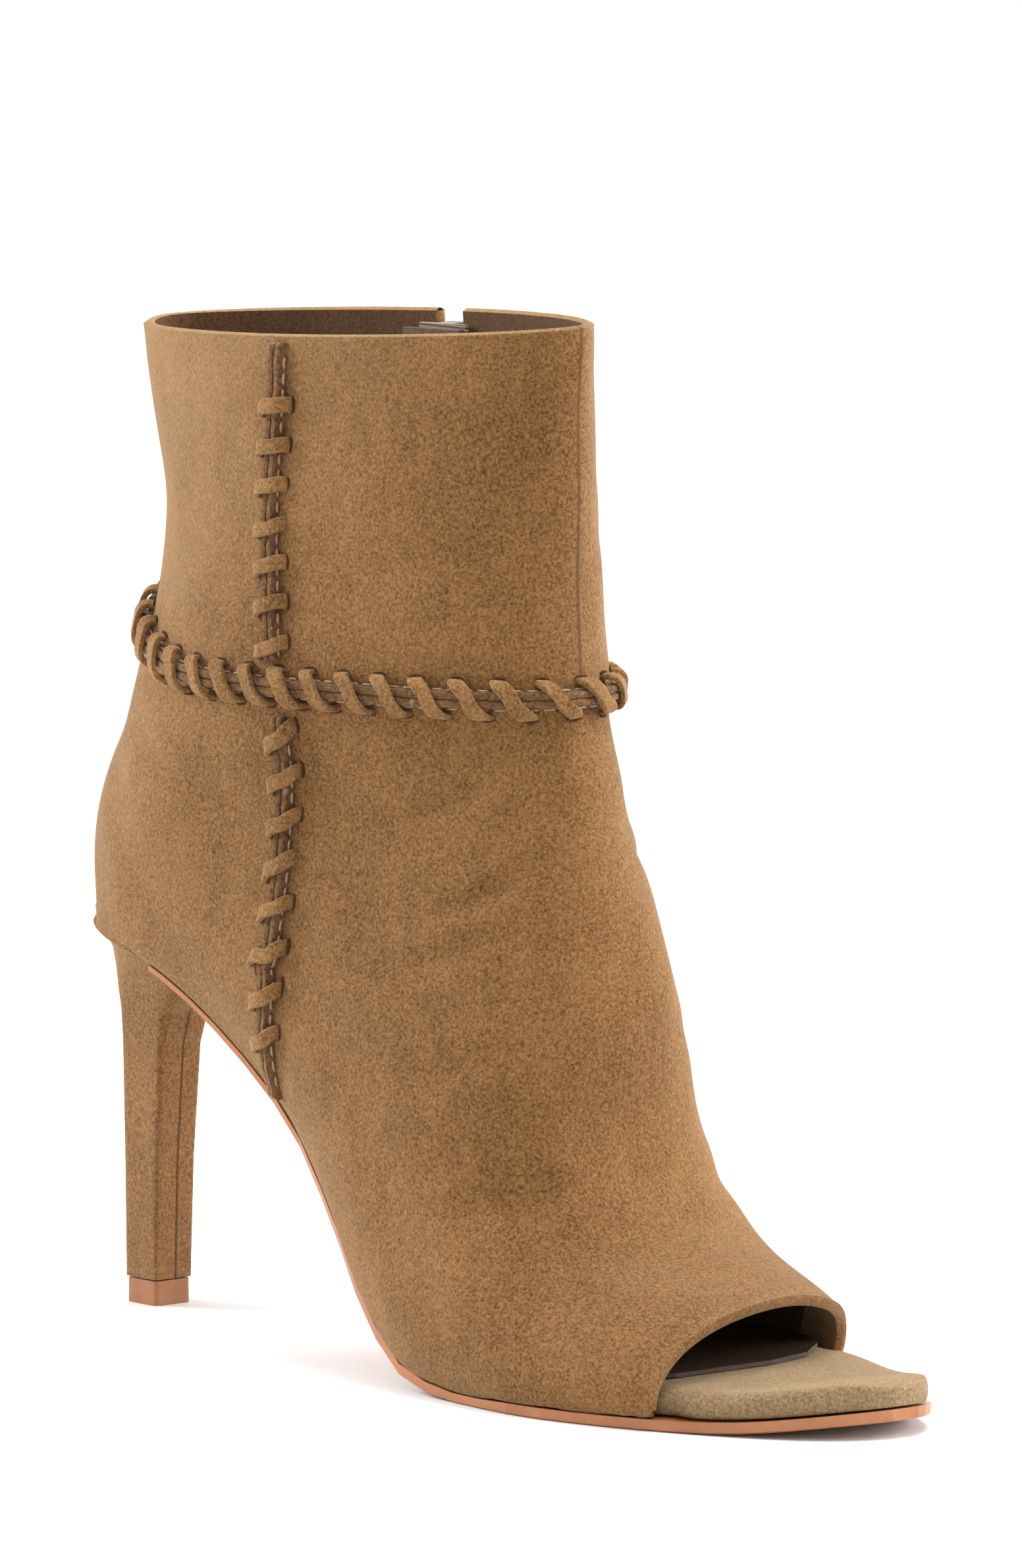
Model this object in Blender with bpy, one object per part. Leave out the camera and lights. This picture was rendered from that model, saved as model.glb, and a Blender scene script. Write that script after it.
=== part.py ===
"""Peep toe ankle boot in suede: hollow upper on a high slim heel, laced raised seams and an inside zip.

Right boot. Metres, +Z up, toe along +X, medial side along +Y. The origin is the middle of
the heel's worn face, on the floor. Each size below can be set by itself.
"""

import bmesh
import bpy
from collections import namedtuple
from math import acos, copysign, cos, hypot, pi, radians, sin, sqrt
from mathutils import Matrix, Vector

# Driving sizes of the last
LENGTH = 0.218
BALL_WIDTH = 0.072
INSTEP_HEIGHT = 0.114
SEAT_HEIGHT = 0.0765
SHAFT_RISE = 0.1138
COLLAR_TILT = 0.0060
COLLAR_CANT = 0.0040
SEAT_OVERHANG = 0.007

# Walls, thicknesses and clearances
WALL = 0.0022
GAP = 0.0003
SOLE_THICK = 0.0023
INSOLE_THICK = 0.0050
INSOLE_ROUND = 0.0080
SOCK_THICK = 0.0008
SOCK_END = 0.169
SOCK_CORNER_LATERAL = 0.009
SOCK_CORNER_MEDIAL = 0.019
LIFT_THICK = 0.0048
SEAT_ROUND = 0.030
TOE_ROUND = 0.060
SOLE_TAIL = 0.034
SOLE_BEVEL = 0.0006
TOE_FLAT = 0.0004

# Raised laced seams
LIP_WIDTH = 0.0030
LIP_HEIGHT = 0.0021
LIP_FOOT = 0.0008
LACE_WIDTH = 0.0030
LACE_THICK = 0.0008
LACE_REACH = 0.0035
UNDER_WIDTH = 0.0017
UPPER_SLANT = 0.20
LOWER_SLANT = 0.50
ANKLE_SLANT = 0.72
STITCH_PITCH = 0.0081
COLLAR_BARE = 0.0125
SEAM_END_BARE = 0.0120

# Zip on the medial side
ZIP_GAP = 0.0080
ZIP_BOTTOM = 1.02
TAPE_WIDTH = 0.0140
TAPE_THICK = 0.0008
CHAIN_WIDTH = 0.0050
GUARD_WIDTH = 0.0170
GUARD_THICK = 0.0012
SLIDER_LENGTH = 0.0105
SLIDER_WIDTH = 0.0078
SLIDER_THICK = 0.0022
PULL_LENGTH = 0.0260
PULL_WIDTH = 0.0056
PULL_THICK = 0.0012
PIN_RADIUS = 0.0006

# Mesh fineness
FOOT_ROWS = 21
SHAFT_ROWS = 13
ROUND_COLUMNS = 32
SOLE_STATIONS = 40
SOLE_SPACING = 0.0008

SEAT_BACK = -SEAT_OVERHANG
TREAD = SOLE_THICK + GAP
COLLAR_HEIGHT = SEAT_HEIGHT + SHAFT_RISE

# Sole: place along the length, rise from tread to seat, half width and swing as shares of the ball width
Sole = namedtuple("Sole", "along rise half swing thick")
SOLE = (
    Sole(0.00, 1.000, 0.330, 0.000, 0.60),
    Sole(0.08, 0.973, 0.335, 0.000, 0.60),
    Sole(0.16, 0.917, 0.335, 0.000, 0.60),
    Sole(0.24, 0.792, 0.318, 0.000, 0.60),
    Sole(0.33, 0.573, 0.290, 0.000, 0.62),
    Sole(0.41, 0.352, 0.345, 0.000, 0.70),
    Sole(0.48, 0.164, 0.415, 0.000, 0.85),
    Sole(0.54, 0.038, 0.460, 0.010, 0.95),
    Sole(0.60, 0.000, 0.485, 0.020, 1.00),
    Sole(0.70, 0.000, 0.500, 0.020, 1.00),
    Sole(0.80, 0.000, 0.450, 0.020, 1.00),
    Sole(0.90, 0.007, 0.395, 0.020, 1.00),
    Sole(1.00, 0.047, 0.380, 0.050, 1.00),
)

# Back of the upper: height share of the shaft's rise, and how far forward as a share of the length
Back = namedtuple("Back", "rise forward")
BACK = (
    Back(0.00, 0.000),
    Back(0.08, 0.000),
    Back(0.17, 0.006),
    Back(0.26, 0.024),
    Back(0.35, 0.047),
    Back(0.48, 0.069),
    Back(0.60, 0.084),
    Back(0.70, 0.085),
    Back(0.83, 0.067),
    Back(1.00, 0.043),
)

# Sections of the foot below the seat: foot 0 is the toe, 1 the seat's back. The ridge's place is a share
# of the length, its height a share of the instep height, and the half widths are shares of the ball width.
Section = namedtuple("Section", "foot forward height outer inner widest peak ridge")
FOOT_SECTIONS = (
    Section(0.16, 0.839, 0.180, 0.390, 0.415, 0.08, 2.05, 0.04),
    Section(0.24, 0.774, 0.225, 0.465, 0.500, 0.10, 2.05, 0.04),
    Section(0.32, 0.716, 0.275, 0.500, 0.526, 0.15, 2.05, 0.04),
    Section(0.41, 0.681, 0.366, 0.505, 0.515, 0.20, 2.10, 0.03),
    Section(0.52, 0.674, 0.491, 0.475, 0.448, 0.26, 2.10, 0.03),
    Section(0.59, 0.672, 0.632, 0.445, 0.420, 0.28, 2.10, 0.02),
    Section(0.67, 0.656, 0.763, 0.420, 0.410, 0.30, 2.10, 0.01),
    Section(0.80, 0.636, 0.904, 0.400, 0.400, 0.30, 2.00, 0.00),
    Section(1.00, 0.627, 1.000, 0.392, 0.392, 0.32, 2.00, 0.00),
)

# Sections of the shaft: foot 1 is the seat's back and 2 the collar. Heights are shares from the instep
# height to the collar.
SHAFT_SECTIONS = (
    Section(1.15, 0.617, 0.070, 0.392, 0.392, 0.34, 2.05, 0.00),
    Section(1.30, 0.607, 0.132, 0.398, 0.398, 0.38, 2.05, 0.00),
    Section(1.48, 0.604, 0.184, 0.397, 0.397, 0.42, 2.05, 0.00),
    Section(1.65, 0.599, 0.454, 0.358, 0.358, 0.46, 1.95, 0.00),
    Section(1.82, 0.600, 0.724, 0.330, 0.330, 0.49, 1.85, 0.00),
    Section(2.00, 0.604, 1.000, 0.3125, 0.3125, 0.50, 1.75, 0.00),
)

# Toe opening: foot place of its edge, from the lateral side over the ridge to the medial side
Edge = namedtuple("Edge", "turn foot")
OPENING = (
    Edge(-1.0, 0.166),
    Edge(-0.6, 0.160),
    Edge(-0.3, 0.159),
    Edge(0.0, 0.169),
    Edge(0.2, 0.192),
    Edge(0.4, 0.238),
    Edge(0.6, 0.260),
    Edge(1.0, 0.262),
)

# Side seam and zip: place forward of the seat's back, as a share of the length, by foot place
Line = namedtuple("Line", "foot side zip")
SIDE_LINES = (
    Line(0.66, 0.340, 0.350),
    Line(0.72, 0.345, 0.345),
    Line(0.80, 0.355, 0.340),
    Line(1.00, 0.358, 0.338),
    Line(1.25, 0.360, 0.338),
    Line(1.48, 0.353, 0.332),
    Line(1.70, 0.334, 0.326),
    Line(2.00, 0.331, 0.321),
)
SIDE_SEAM_FOOT = 0.674

# Ankle seam: foot place by turn from the ridge, the same on both sides
Ankle = namedtuple("Ankle", "turn foot")
ANKLE = (
    Ankle(0.0, 1.462),
    Ankle(0.3, 1.459),
    Ankle(0.6, 1.458),
    Ankle(0.8, 1.512),
    Ankle(1.0, 1.552),
)

# Heel: level as a share of the height below the seat, middle and reach as shares of the heel seat's
# length, half width as a share of the ball width, and squareness of the outline
HEEL_SEAT = 0.048
Ring = namedtuple("Ring", "level middle back front half square")
HEEL = (
    Ring(0.000, 0.148, 0.098, 0.098, 0.064, 12.0),
    Ring(0.330, 0.156, 0.108, 0.106, 0.068, 11.0),
    Ring(0.640, 0.170, 0.126, 0.130, 0.075, 9.0),
    Ring(0.730, 0.186, 0.145, 0.156, 0.084, 7.0),
    Ring(0.790, 0.230, 0.198, 0.215, 0.098, 5.5),
    Ring(0.850, 0.333, 0.310, 0.300, 0.125, 3.8),
    Ring(0.905, 0.458, 0.446, 0.330, 0.175, 2.7),
    Ring(0.955, 0.560, 0.555, 0.350, 0.262, 2.1),
    Ring(1.000, 0.620, 0.620, 0.360, 0.330, 2.0),
    Ring(1.100, 0.620, 0.620, 0.360, 0.330, 2.0),
)
HEEL_SIDES = 28

# The foot line's corner at the seat is rounded over this span of foot, except close to the feather line
CORNER_EASE = 0.16
CORNER_FREE = 0.40
CORNER_HOLD = 0.85


def smooth(rows, key, column):
    """A smooth curve through one column of a table, read at any place along its key column."""
    at = [getattr(row, key) for row in rows]
    value = [getattr(row, column) for row in rows]
    step = [b - a for a, b in zip(at, at[1:])]
    rise = [(b - a) / h for a, b, h in zip(value, value[1:], step)]
    slope = [rise[0]]
    for k in range(1, len(step)):
        slope.append((rise[k - 1] * step[k] + rise[k] * step[k - 1]) / (step[k - 1] + step[k]))
    slope.append(rise[-1])

    def read(place):
        k = 0
        while k < len(step) - 1 and place > at[k + 1]:
            k += 1
        u = (place - at[k]) / step[k]
        u2, u3 = u * u, u * u * u
        return ((2 * u3 - 3 * u2 + 1) * value[k] + (u3 - 2 * u2 + u) * step[k] * slope[k]
                + (3 * u2 - 2 * u3) * value[k + 1] + (u3 - u2) * step[k] * slope[k + 1])

    return read


def section_rows():
    """Both section tables with the ridge's height in metres at its place."""
    rows = [row._replace(height=row.height * INSTEP_HEIGHT) for row in FOOT_SECTIONS]
    top = COLLAR_HEIGHT + COLLAR_TILT
    for row in SHAFT_SECTIONS:
        rows.append(row._replace(height=INSTEP_HEIGHT + row.height * (top - INSTEP_HEIGHT)))
    return rows


SOLE_CURVES = {name: smooth(SOLE, "along", name) for name in Sole._fields[1:]}
BACK_FORWARD = smooth(BACK, "rise", "forward")
ROWS = section_rows()
SECTION_CURVES = {name: smooth(ROWS, "foot", name) for name in Section._fields[1:]}
LINE_CURVES = {name: smooth(SIDE_LINES, "foot", name) for name in Line._fields[1:]}
OPENING_EDGE = smooth(OPENING, "turn", "foot")
ANKLE_EDGE = smooth(ANKLE, "turn", "foot")


def sole_x(share):
    return SEAT_BACK + share * LENGTH


def sole_share(x):
    return min(max((x - SEAT_BACK) / LENGTH, 0.0), 1.0)


def feather_height(share):
    """Height of the line where the upper meets the sole."""
    return TREAD + SOLE_CURVES["rise"](share) * (SEAT_HEIGHT - TREAD)


def sole_middle(share):
    return SOLE_CURVES["swing"](share) * BALL_WIDTH


def sole_half(share, inset=0.0):
    """Half width of the sole, rounded off at the seat and at the toe, or of an outline inside it."""
    half = SOLE_CURVES["half"](share) * BALL_WIDTH - inset
    for reach, radius in ((share * LENGTH, SEAT_ROUND), ((1 - share) * LENGTH, TOE_ROUND)):
        if reach < radius:
            half *= sqrt(max(1 - ((radius - reach) / (radius - inset)) ** 2, 0.0))
    return half


def sole_thick(share):
    return SOLE_CURVES["thick"](share) * SOLE_THICK


def sole_underside(share):
    """Height of the outsole's worn face, level on the floor under the ball."""
    back, front = max(share - 0.01, 0), min(share + 0.01, 1)
    lean = (feather_height(front) - feather_height(back)) / ((front - back) * LENGTH)
    return max(feather_height(share) - GAP - sole_thick(share) * hypot(1, lean), 0.0)


def foot_line(foot):
    """Middle of the foot of a section: along the sole, then up the back."""
    if foot <= 1:
        share = 1 - foot
        return Vector((sole_x(share), 0, feather_height(share)))
    rise = foot - 1
    return Vector((SEAT_BACK + BACK_FORWARD(rise) * LENGTH, 0, SEAT_HEIGHT + rise * SHAFT_RISE))


def eased_foot_line(foot):
    """The foot line with its corner at the seat rounded off, for the leather above the feather line."""
    u = (foot - 1 + CORNER_EASE) / (2 * CORNER_EASE)
    if not 0 < u < 1:
        return foot_line(foot)
    before, corner, after = foot_line(1 - CORNER_EASE), foot_line(1), foot_line(1 + CORNER_EASE)
    return before * (1 - u) ** 2 + corner * (2 * u * (1 - u)) + after * u ** 2


def skin(foot, turn):
    """Outside of the upper. turn runs -1 to 1: 0 is the ridge, +-0.5 the widest, +-1 the foot or back."""
    row = {name: curve(foot) for name, curve in SECTION_CURVES.items()}
    grip = min(max((abs(turn) - CORNER_FREE) / (CORNER_HOLD - CORNER_FREE), 0), 1)
    grip = grip * grip * (3 - 2 * grip)
    low = eased_foot_line(foot).lerp(foot_line(foot), grip)
    top = Vector((SEAT_BACK + row["forward"] * LENGTH, 0, row["height"]))
    height = (top - low).length
    up = (top - low) / height
    side = -1 if turn < 0 else 1
    wide = side * (row["outer"] if side < 0 else row["inner"]) * BALL_WIDTH
    middle, half = 0.0, 0.0
    if foot < 1:
        middle, half = sole_middle(1 - foot), sole_half(1 - foot)
    widest = row["widest"] * height
    around = abs(turn)
    if around <= 0.5:
        angle = (0.5 - around) * pi
        power = 2 / row["peak"]
        ridge = row["ridge"] * BALL_WIDTH
        rise = widest + (height - widest) * sin(angle) ** power
        across = ridge + (wide - ridge) * max(cos(angle), 0.0) ** power
    else:
        end = acos(min(half / abs(wide - middle), 0.97))
        angle = end * (around - 0.5) * 2
        rise = widest * (1 - sin(angle) / sin(end))
        across = middle + (wide - middle) * cos(angle)
    cant = COLLAR_CANT * max(foot - 1, 0.0) ** 2 * across / BALL_WIDTH
    return Vector((low.x + up.x * rise, across, low.z + up.z * rise + cant))


def wrapped(turn):
    """The same place round a closed section, with turn back between -1 and 1."""
    return turn + 2 if turn < -1 else turn - 2 if turn > 1 else turn


def skin_steps(foot, turn):
    """How the skin moves with foot and with turn, by central differences."""
    small = 0.006
    low, high = foot - small, foot + small
    if foot + small > 2:
        high = 2.0
    if (foot < 1 < high) or (low < 1 <= foot):
        low, high = (low, 1.0) if foot < 1 else (1.0, high)
        if low == high:
            high = 1.0 + small
    along = (skin(high, turn) - skin(low, turn)) / (high - low)
    left, right = turn - small, turn + small
    if foot >= 1:
        across = (skin(foot, wrapped(right)) - skin(foot, wrapped(left))) / (2 * small)
    else:
        left, right = max(left, -1), min(right, 1)
        across = (skin(foot, right) - skin(foot, left)) / (right - left)
    return along, across


def skin_normal(foot, turn):
    along, across = skin_steps(foot, turn)
    return across.cross(along).normalized()


def turn_at(foot, forward, side):
    """The turn on one side at which the skin passes a place forward of the seat's back."""
    x = SEAT_BACK + forward * LENGTH
    back, front = 0.985, 0.02
    for _ in range(26):
        middle = (back + front) / 2
        if skin(foot, side * middle).x < x:
            back = middle
        else:
            front = middle
    return side * (back + front) / 2


def opening_foot(turn):
    """Foot place of the toe opening's edge."""
    return OPENING_EDGE(turn)


def ankle_foot(turn):
    """Foot place of the ankle seam, which rises towards the back."""
    return ANKLE_EDGE(abs(turn))


def feather_normal(share, side):
    """Outward direction of the sole's outline, in plan."""
    small = 0.002
    back, front = max(share - small, 0.0), min(share + small, 1.0)
    dx = (front - back) * LENGTH
    dy = side * (sole_half(front) - sole_half(back)) + sole_middle(front) - sole_middle(back)
    return Vector((-side * dy, side * dx, 0)).normalized()


def material(name, colour, roughness, metallic=0.0):
    made = bpy.data.materials.new(name)
    made.use_nodes = True
    shader = made.node_tree.nodes["Principled BSDF"]
    shader.inputs["Base Color"].default_value = (*colour, 1)
    shader.inputs["Roughness"].default_value = roughness
    shader.inputs["Metallic"].default_value = metallic
    return made


def solid(name, points, faces, finish, angle=35):
    """One named object from points and faces, with its faces turned outward."""
    mesh = bpy.data.meshes.new(name)
    mesh.from_pydata([tuple(point) for point in points], [], faces)
    work = bmesh.new()
    work.from_mesh(mesh)
    bmesh.ops.remove_doubles(work, verts=work.verts, dist=0.000002)
    bmesh.ops.recalc_face_normals(work, faces=work.faces)
    if work.calc_volume(signed=True) < 0:
        bmesh.ops.reverse_faces(work, faces=work.faces)
    work.to_mesh(mesh)
    work.free()
    mesh.shade_smooth()
    mesh.set_sharp_from_angle(angle=radians(angle))
    mesh.materials.append(finish)
    body = bpy.data.objects.new(name, mesh)
    bpy.context.collection.objects.link(body)
    return body


def loft(name, rings, finish, angle=35):
    """A solid through rings that all have the same number of points, closed at both ends."""
    sides = len(rings[0])
    points = [point for ring in rings for point in ring]
    faces = []
    for r in range(len(rings) - 1):
        for k in range(sides):
            n = (k + 1) % sides
            faces.append((r * sides + k, r * sides + n, (r + 1) * sides + n, (r + 1) * sides + k))
    faces.append(tuple(range(sides)))
    faces.append(tuple((len(rings) - 1) * sides + k for k in range(sides)))
    return solid(name, points, faces, finish, angle)


def guide(body):
    body.hide_render = True
    body.display_type = "WIRE"
    return body


def cut(body, cutter):
    """Take the cutter's shape out of a body."""
    taken = body.modifiers.new("Cut", "BOOLEAN")
    taken.operation = "DIFFERENCE"
    taken.object = guide(cutter)


def foot_place(row, turn):
    """Foot place of one row of the upper's net: from the toe opening to the seat's back, then up."""
    if row <= FOOT_ROWS:
        return 1 - (1 - opening_foot(turn)) * (1 - row / FOOT_ROWS) ** 1.45
    return 1 + (row - FOOT_ROWS) / SHAFT_ROWS


def inner_point(foot, turn, outer):
    """The wall's inside, level with the feather line along the sole."""
    if foot < 1 and abs(turn) > 0.999:
        side = copysign(1, turn)
        inside = outer - feather_normal(1 - foot, side) * WALL
        inside.z = feather_height(sole_share(inside.x))
        return inside
    if foot == 1 and abs(turn) > 0.999:
        inside = outer + Vector((WALL, 0, 0))
        inside.z = feather_height(sole_share(inside.x))
        return inside
    return outer - skin_normal(foot, turn) * WALL


def upper(finish):
    """Hollow upper: one wall, open at the collar, at the toe and underneath, with a slot for the zip."""
    points, index = [], {}
    last = FOOT_ROWS + SHAFT_ROWS
    for row in range(last + 1):
        for column in range(ROUND_COLUMNS + 1):
            turn = -1 + 2 * column / ROUND_COLUMNS
            if row >= FOOT_ROWS and column == ROUND_COLUMNS:
                index[row, column, 0] = index[row, 0, 0]
                index[row, column, 1] = index[row, 0, 1]
                continue
            foot = foot_place(row, turn)
            outer = skin(foot, turn)
            for face, point in enumerate((outer, inner_point(foot, turn, outer))):
                index[row, column, face] = len(points)
                points.append(point)
    faces = []
    for row in range(last):
        for column in range(ROUND_COLUMNS):
            for face in (0, 1):
                quad = (index[row, column, face], index[row, column + 1, face],
                        index[row + 1, column + 1, face], index[row + 1, column, face])
                faces.append(quad if face else quad[::-1])
    for row in (0, last):
        for column in range(ROUND_COLUMNS):
            faces.append((index[row, column, 0], index[row, column + 1, 0],
                          index[row, column + 1, 1], index[row, column, 1]))
    for row in range(FOOT_ROWS):
        for column in (0, ROUND_COLUMNS):
            faces.append((index[row, column, 0], index[row + 1, column, 0],
                          index[row + 1, column, 1], index[row, column, 1]))
    body = solid("upper", points, faces, finish)
    cut(body, zip_slot(finish))
    return body


def zip_slot(finish):
    """Cutter for the zip's slot: a slab through the medial wall, from above the collar down."""
    rings = []
    steps = 12
    for k in range(steps + 1):
        foot = ZIP_BOTTOM + (2 - ZIP_BOTTOM) * k / steps
        middle = skin(foot, turn_at(foot, LINE_CURVES["zip"](foot), 1))
        half = ZIP_GAP / 2
        lift = COLLAR_TILT * 2 if k == steps else -2 * GAP if k == 0 else 0.0
        inside, outside = middle.y - 5 * WALL, middle.y + 5 * WALL
        z = middle.z + lift
        rings.append([(middle.x - half, inside, z), (middle.x + half, inside, z),
                      (middle.x + half, outside, z), (middle.x - half, outside, z)])
    return loft("zip_slot_cutter", rings, finish)


def stations(start, end):
    """Shares along the sole, the same for every layer, closer together towards both ends."""
    shares = [(1 - cos(pi * k / SOLE_STATIONS)) / 2 for k in range(SOLE_STATIONS + 1)]
    least = SOLE_SPACING / LENGTH
    return [start] + [share for share in shares if start + least < share < end - least] + [end]


def outsole(finish):
    """Thin outsole from the toe to its tail on the heel, flat on the floor under the ball."""
    rings = []
    start = SOLE_TAIL / LENGTH
    for share in stations(start, 1 - TOE_FLAT / LENGTH):
        x, middle, half = sole_x(share), sole_middle(share), sole_half(share)
        top = feather_height(share) - 1.5 * GAP
        low = sole_underside(share)
        edge = max(half - SOLE_BEVEL, half * 0.5)
        rings.append([(x, middle - half, top), (x, middle + half, top),
                      (x, middle + half, low + SOLE_BEVEL * 0.5), (x, middle + edge, low),
                      (x, middle - edge, low), (x, middle - half, low + SOLE_BEVEL * 0.5)])
    return loft("outsole", rings, finish)


def insole_half(share, side):
    """Half width of the insole: inside the wall, and out to the sole's edge at the open toe."""
    foot = 1 - share
    inside = sole_half(share, WALL + 2 * GAP)
    open_toe = sole_half(share, SOLE_BEVEL)
    clear = (opening_foot(side * 0.45) - foot) * LENGTH - GAP * 4
    blend = min(max(clear / (2 * WALL), 0.0), 1.0)
    return inside + (open_toe - inside) * blend * blend * (3 - 2 * blend)


def insole(finish):
    """Padded insole, wrapped in suede, with a rounded edge."""
    rings = []
    start = (WALL + 3 * GAP) / LENGTH
    for share in stations(start, 1 - 2 * TOE_FLAT / LENGTH):
        x, middle, low = sole_x(share), sole_middle(share), feather_height(share)
        left, right = insole_half(share, -1), insole_half(share, 1)
        from_tip = min((1 - share) * LENGTH / INSOLE_ROUND, 1.0)
        thick = INSOLE_THICK * (0.35 + 0.65 * sqrt(1 - (1 - from_tip) ** 2))
        ring = []
        for across, up in ((-0.96, 0), (-1, 0.35), (-0.985, 0.72), (-0.93, 1), (0, 1.0),
                           (0.93, 1), (0.985, 0.72), (1, 0.35), (0.96, 0)):
            reach = left if across < 0 else right
            ring.append((x, middle + across * reach, low + up * thick))
        rings.append(ring)
    return loft("insole", rings, finish)


def sock_lining(finish):
    """Thin leather sock on the insole, from the heel to just inside the toe opening."""
    rings = []
    start = (2 * WALL + 3 * GAP) / LENGTH
    end = sole_share(SOCK_END)
    for share in stations(start, end):
        x, middle = sole_x(share), sole_middle(share)
        low = feather_height(share) + INSOLE_THICK + GAP
        reach = []
        for corner in (SOCK_CORNER_LATERAL, SOCK_CORNER_MEDIAL):
            from_end = min((end - share) * LENGTH / corner, 1.0)
            rounded = corner * (1 - sqrt(1 - (1 - from_end) ** 2))
            reach.append(sole_half(share, 2 * WALL + GAP) - rounded)
        left, right = middle - reach[0], middle + reach[1]
        high = low + SOCK_THICK
        rings.append([(x, left, low), (x, right, low), (x, right, high), (x, left, high)])
    return loft("sock_lining", rings, finish)


def heel_ring(ring, z, shrink=0.0):
    """One level outline of the heel: round at the back, squarer at the worn end."""
    points = []
    middle = SEAT_BACK + ring.middle * HEEL_SEAT
    for k in range(HEEL_SIDES):
        angle = 2 * pi * (k + 0.5) / HEEL_SIDES
        power = 2 / ring.square
        reach = (ring.front if cos(angle) > 0 else ring.back) * HEEL_SEAT - shrink
        half = ring.half * BALL_WIDTH - shrink
        x = middle + reach * copysign(abs(cos(angle)) ** power, cos(angle))
        y = half * copysign(abs(sin(angle)) ** power, sin(angle))
        points.append((x, y, z))
    return points


def heel(finish):
    """Suede-covered heel: a slim column that flares into the seat, cut to the seat and the sole's tail."""
    base = LIFT_THICK + GAP
    rings = [heel_ring(ring, base + ring.level * (SEAT_HEIGHT - base)) for ring in HEEL]
    body = loft("heel", rings, finish)
    profile = []
    step = SOLE_TAIL - GAP
    for k in range(9):
        share = (step * k / 8) / LENGTH
        profile.append((sole_x(share), feather_height(share) - GAP))
    for k in range(9):
        share = (step + (0.30 * LENGTH - step) * k / 8) / LENGTH
        profile.append((sole_x(share) + (GAP * 0.01 if k == 0 else 0), sole_underside(share) - GAP))
    profile[0] = (profile[0][0] - SEAT_OVERHANG, profile[0][1] + GAP)
    high = SEAT_HEIGHT * 1.4
    profile.append((profile[-1][0], high))
    profile.append((profile[0][0], high))
    reach = BALL_WIDTH
    rings = [[(x, side * reach, z) for x, z in profile] for side in (-1, 1)]
    cut(body, loft("heel_seat_cutter", rings, finish))
    return body


def top_lift(finish):
    """Rubber top lift under the heel, flat on the floor."""
    inset = GAP
    rings = [heel_ring(HEEL[0], z, inset) for z in (0.0, LIFT_THICK)]
    return loft("heel_top_lift", rings, finish)


def skin_near(foot, turn, aim):
    """The place on the skin nearest a point, found by a few steps from a place close to it."""
    for _ in range(3):
        by_foot, by_turn = skin_steps(foot, turn)
        miss = aim - skin(foot, turn)
        a, b, c = by_foot.dot(by_foot), by_foot.dot(by_turn), by_turn.dot(by_turn)
        p, q = miss.dot(by_foot), miss.dot(by_turn)
        foot = min(foot + (c * p - b * q) / (a * c - b * b), 2.0)
        turn += (a * q - b * p) / (a * c - b * b)
        turn = wrapped(turn) if foot >= 1 else min(max(turn, -1), 1)
    return foot, turn


class Seam:
    """A line on the skin, walked by distance. across is to the front or up, high is off the skin."""

    def __init__(self, places, upright):
        self.places = places
        self.upright = upright
        points = [skin(*place) for place in places]
        self.at = [0.0]
        for a, b in zip(points, points[1:]):
            self.at.append(self.at[-1] + (b - a).length)
        self.length = self.at[-1]

    def place(self, distance):
        k = 0
        while k < len(self.at) - 2 and distance > self.at[k + 1]:
            k += 1
        u = (distance - self.at[k]) / (self.at[k + 1] - self.at[k])
        (foot_a, turn_a), (foot_b, turn_b) = self.places[k], self.places[k + 1]
        if abs(turn_b - turn_a) > 1:
            turn_b += copysign(2, turn_a - turn_b)
        return foot_a + (foot_b - foot_a) * u, wrapped(turn_a + (turn_b - turn_a) * u)

    def point(self, distance, across, high):
        foot, turn = self.place(distance)
        small = 0.001
        tangent = skin(*self.place(distance + small)) - skin(*self.place(distance - small))
        side = skin_normal(foot, turn).cross(tangent).normalized()
        if (side.x if self.upright else side.z) < 0:
            side = -side
        foot, turn = skin_near(foot, turn, skin(foot, turn) + side * across)
        return skin(foot, turn) + skin_normal(foot, turn) * high


def side_line(start, end, column, side, count=60):
    """Places along the side seam or the zip, from low to high."""
    places = []
    for k in range(count + 1):
        foot = start + (end - start) * k / count
        places.append((foot, turn_at(foot, LINE_CURVES[column](foot), side)))
    return places


def ankle_line(count=150):
    """Places round the ankle, from the zip's front edge by the front and the back to its back edge."""
    foot = ankle_foot(0.5)
    clear = (ZIP_GAP / 2 + LACE_REACH * 0.5) / LENGTH
    front = turn_at(foot, LINE_CURVES["zip"](foot) + clear, 1)
    back = turn_at(foot, LINE_CURVES["zip"](foot) - clear, 1)
    places = []
    for k in range(count + 1):
        turn = wrapped(front - (2 - (back - front)) * k / count)
        places.append((ankle_foot(turn), turn))
    return places


# A laced stretch of a seam, and how far a turn of the lace leans along it, as a share of the pitch
Laced = namedtuple("Laced", "start end slant")


def stitch_starts(laced):
    """Evenly spaced starts of the lace's turns, so that the last one ends where the stretch does."""
    length = laced.end - laced.start
    count = max(round(length / STITCH_PITCH + 1 - laced.slant), 2)
    pitch = length / (count - 1 + laced.slant)
    return [laced.start + pitch * k for k in range(count)], pitch


# One point of the lace's path: lean is the way its face looks, in degrees from straight out of the skin
Turn = namedtuple("Turn", "across high at lean wide")


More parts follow.
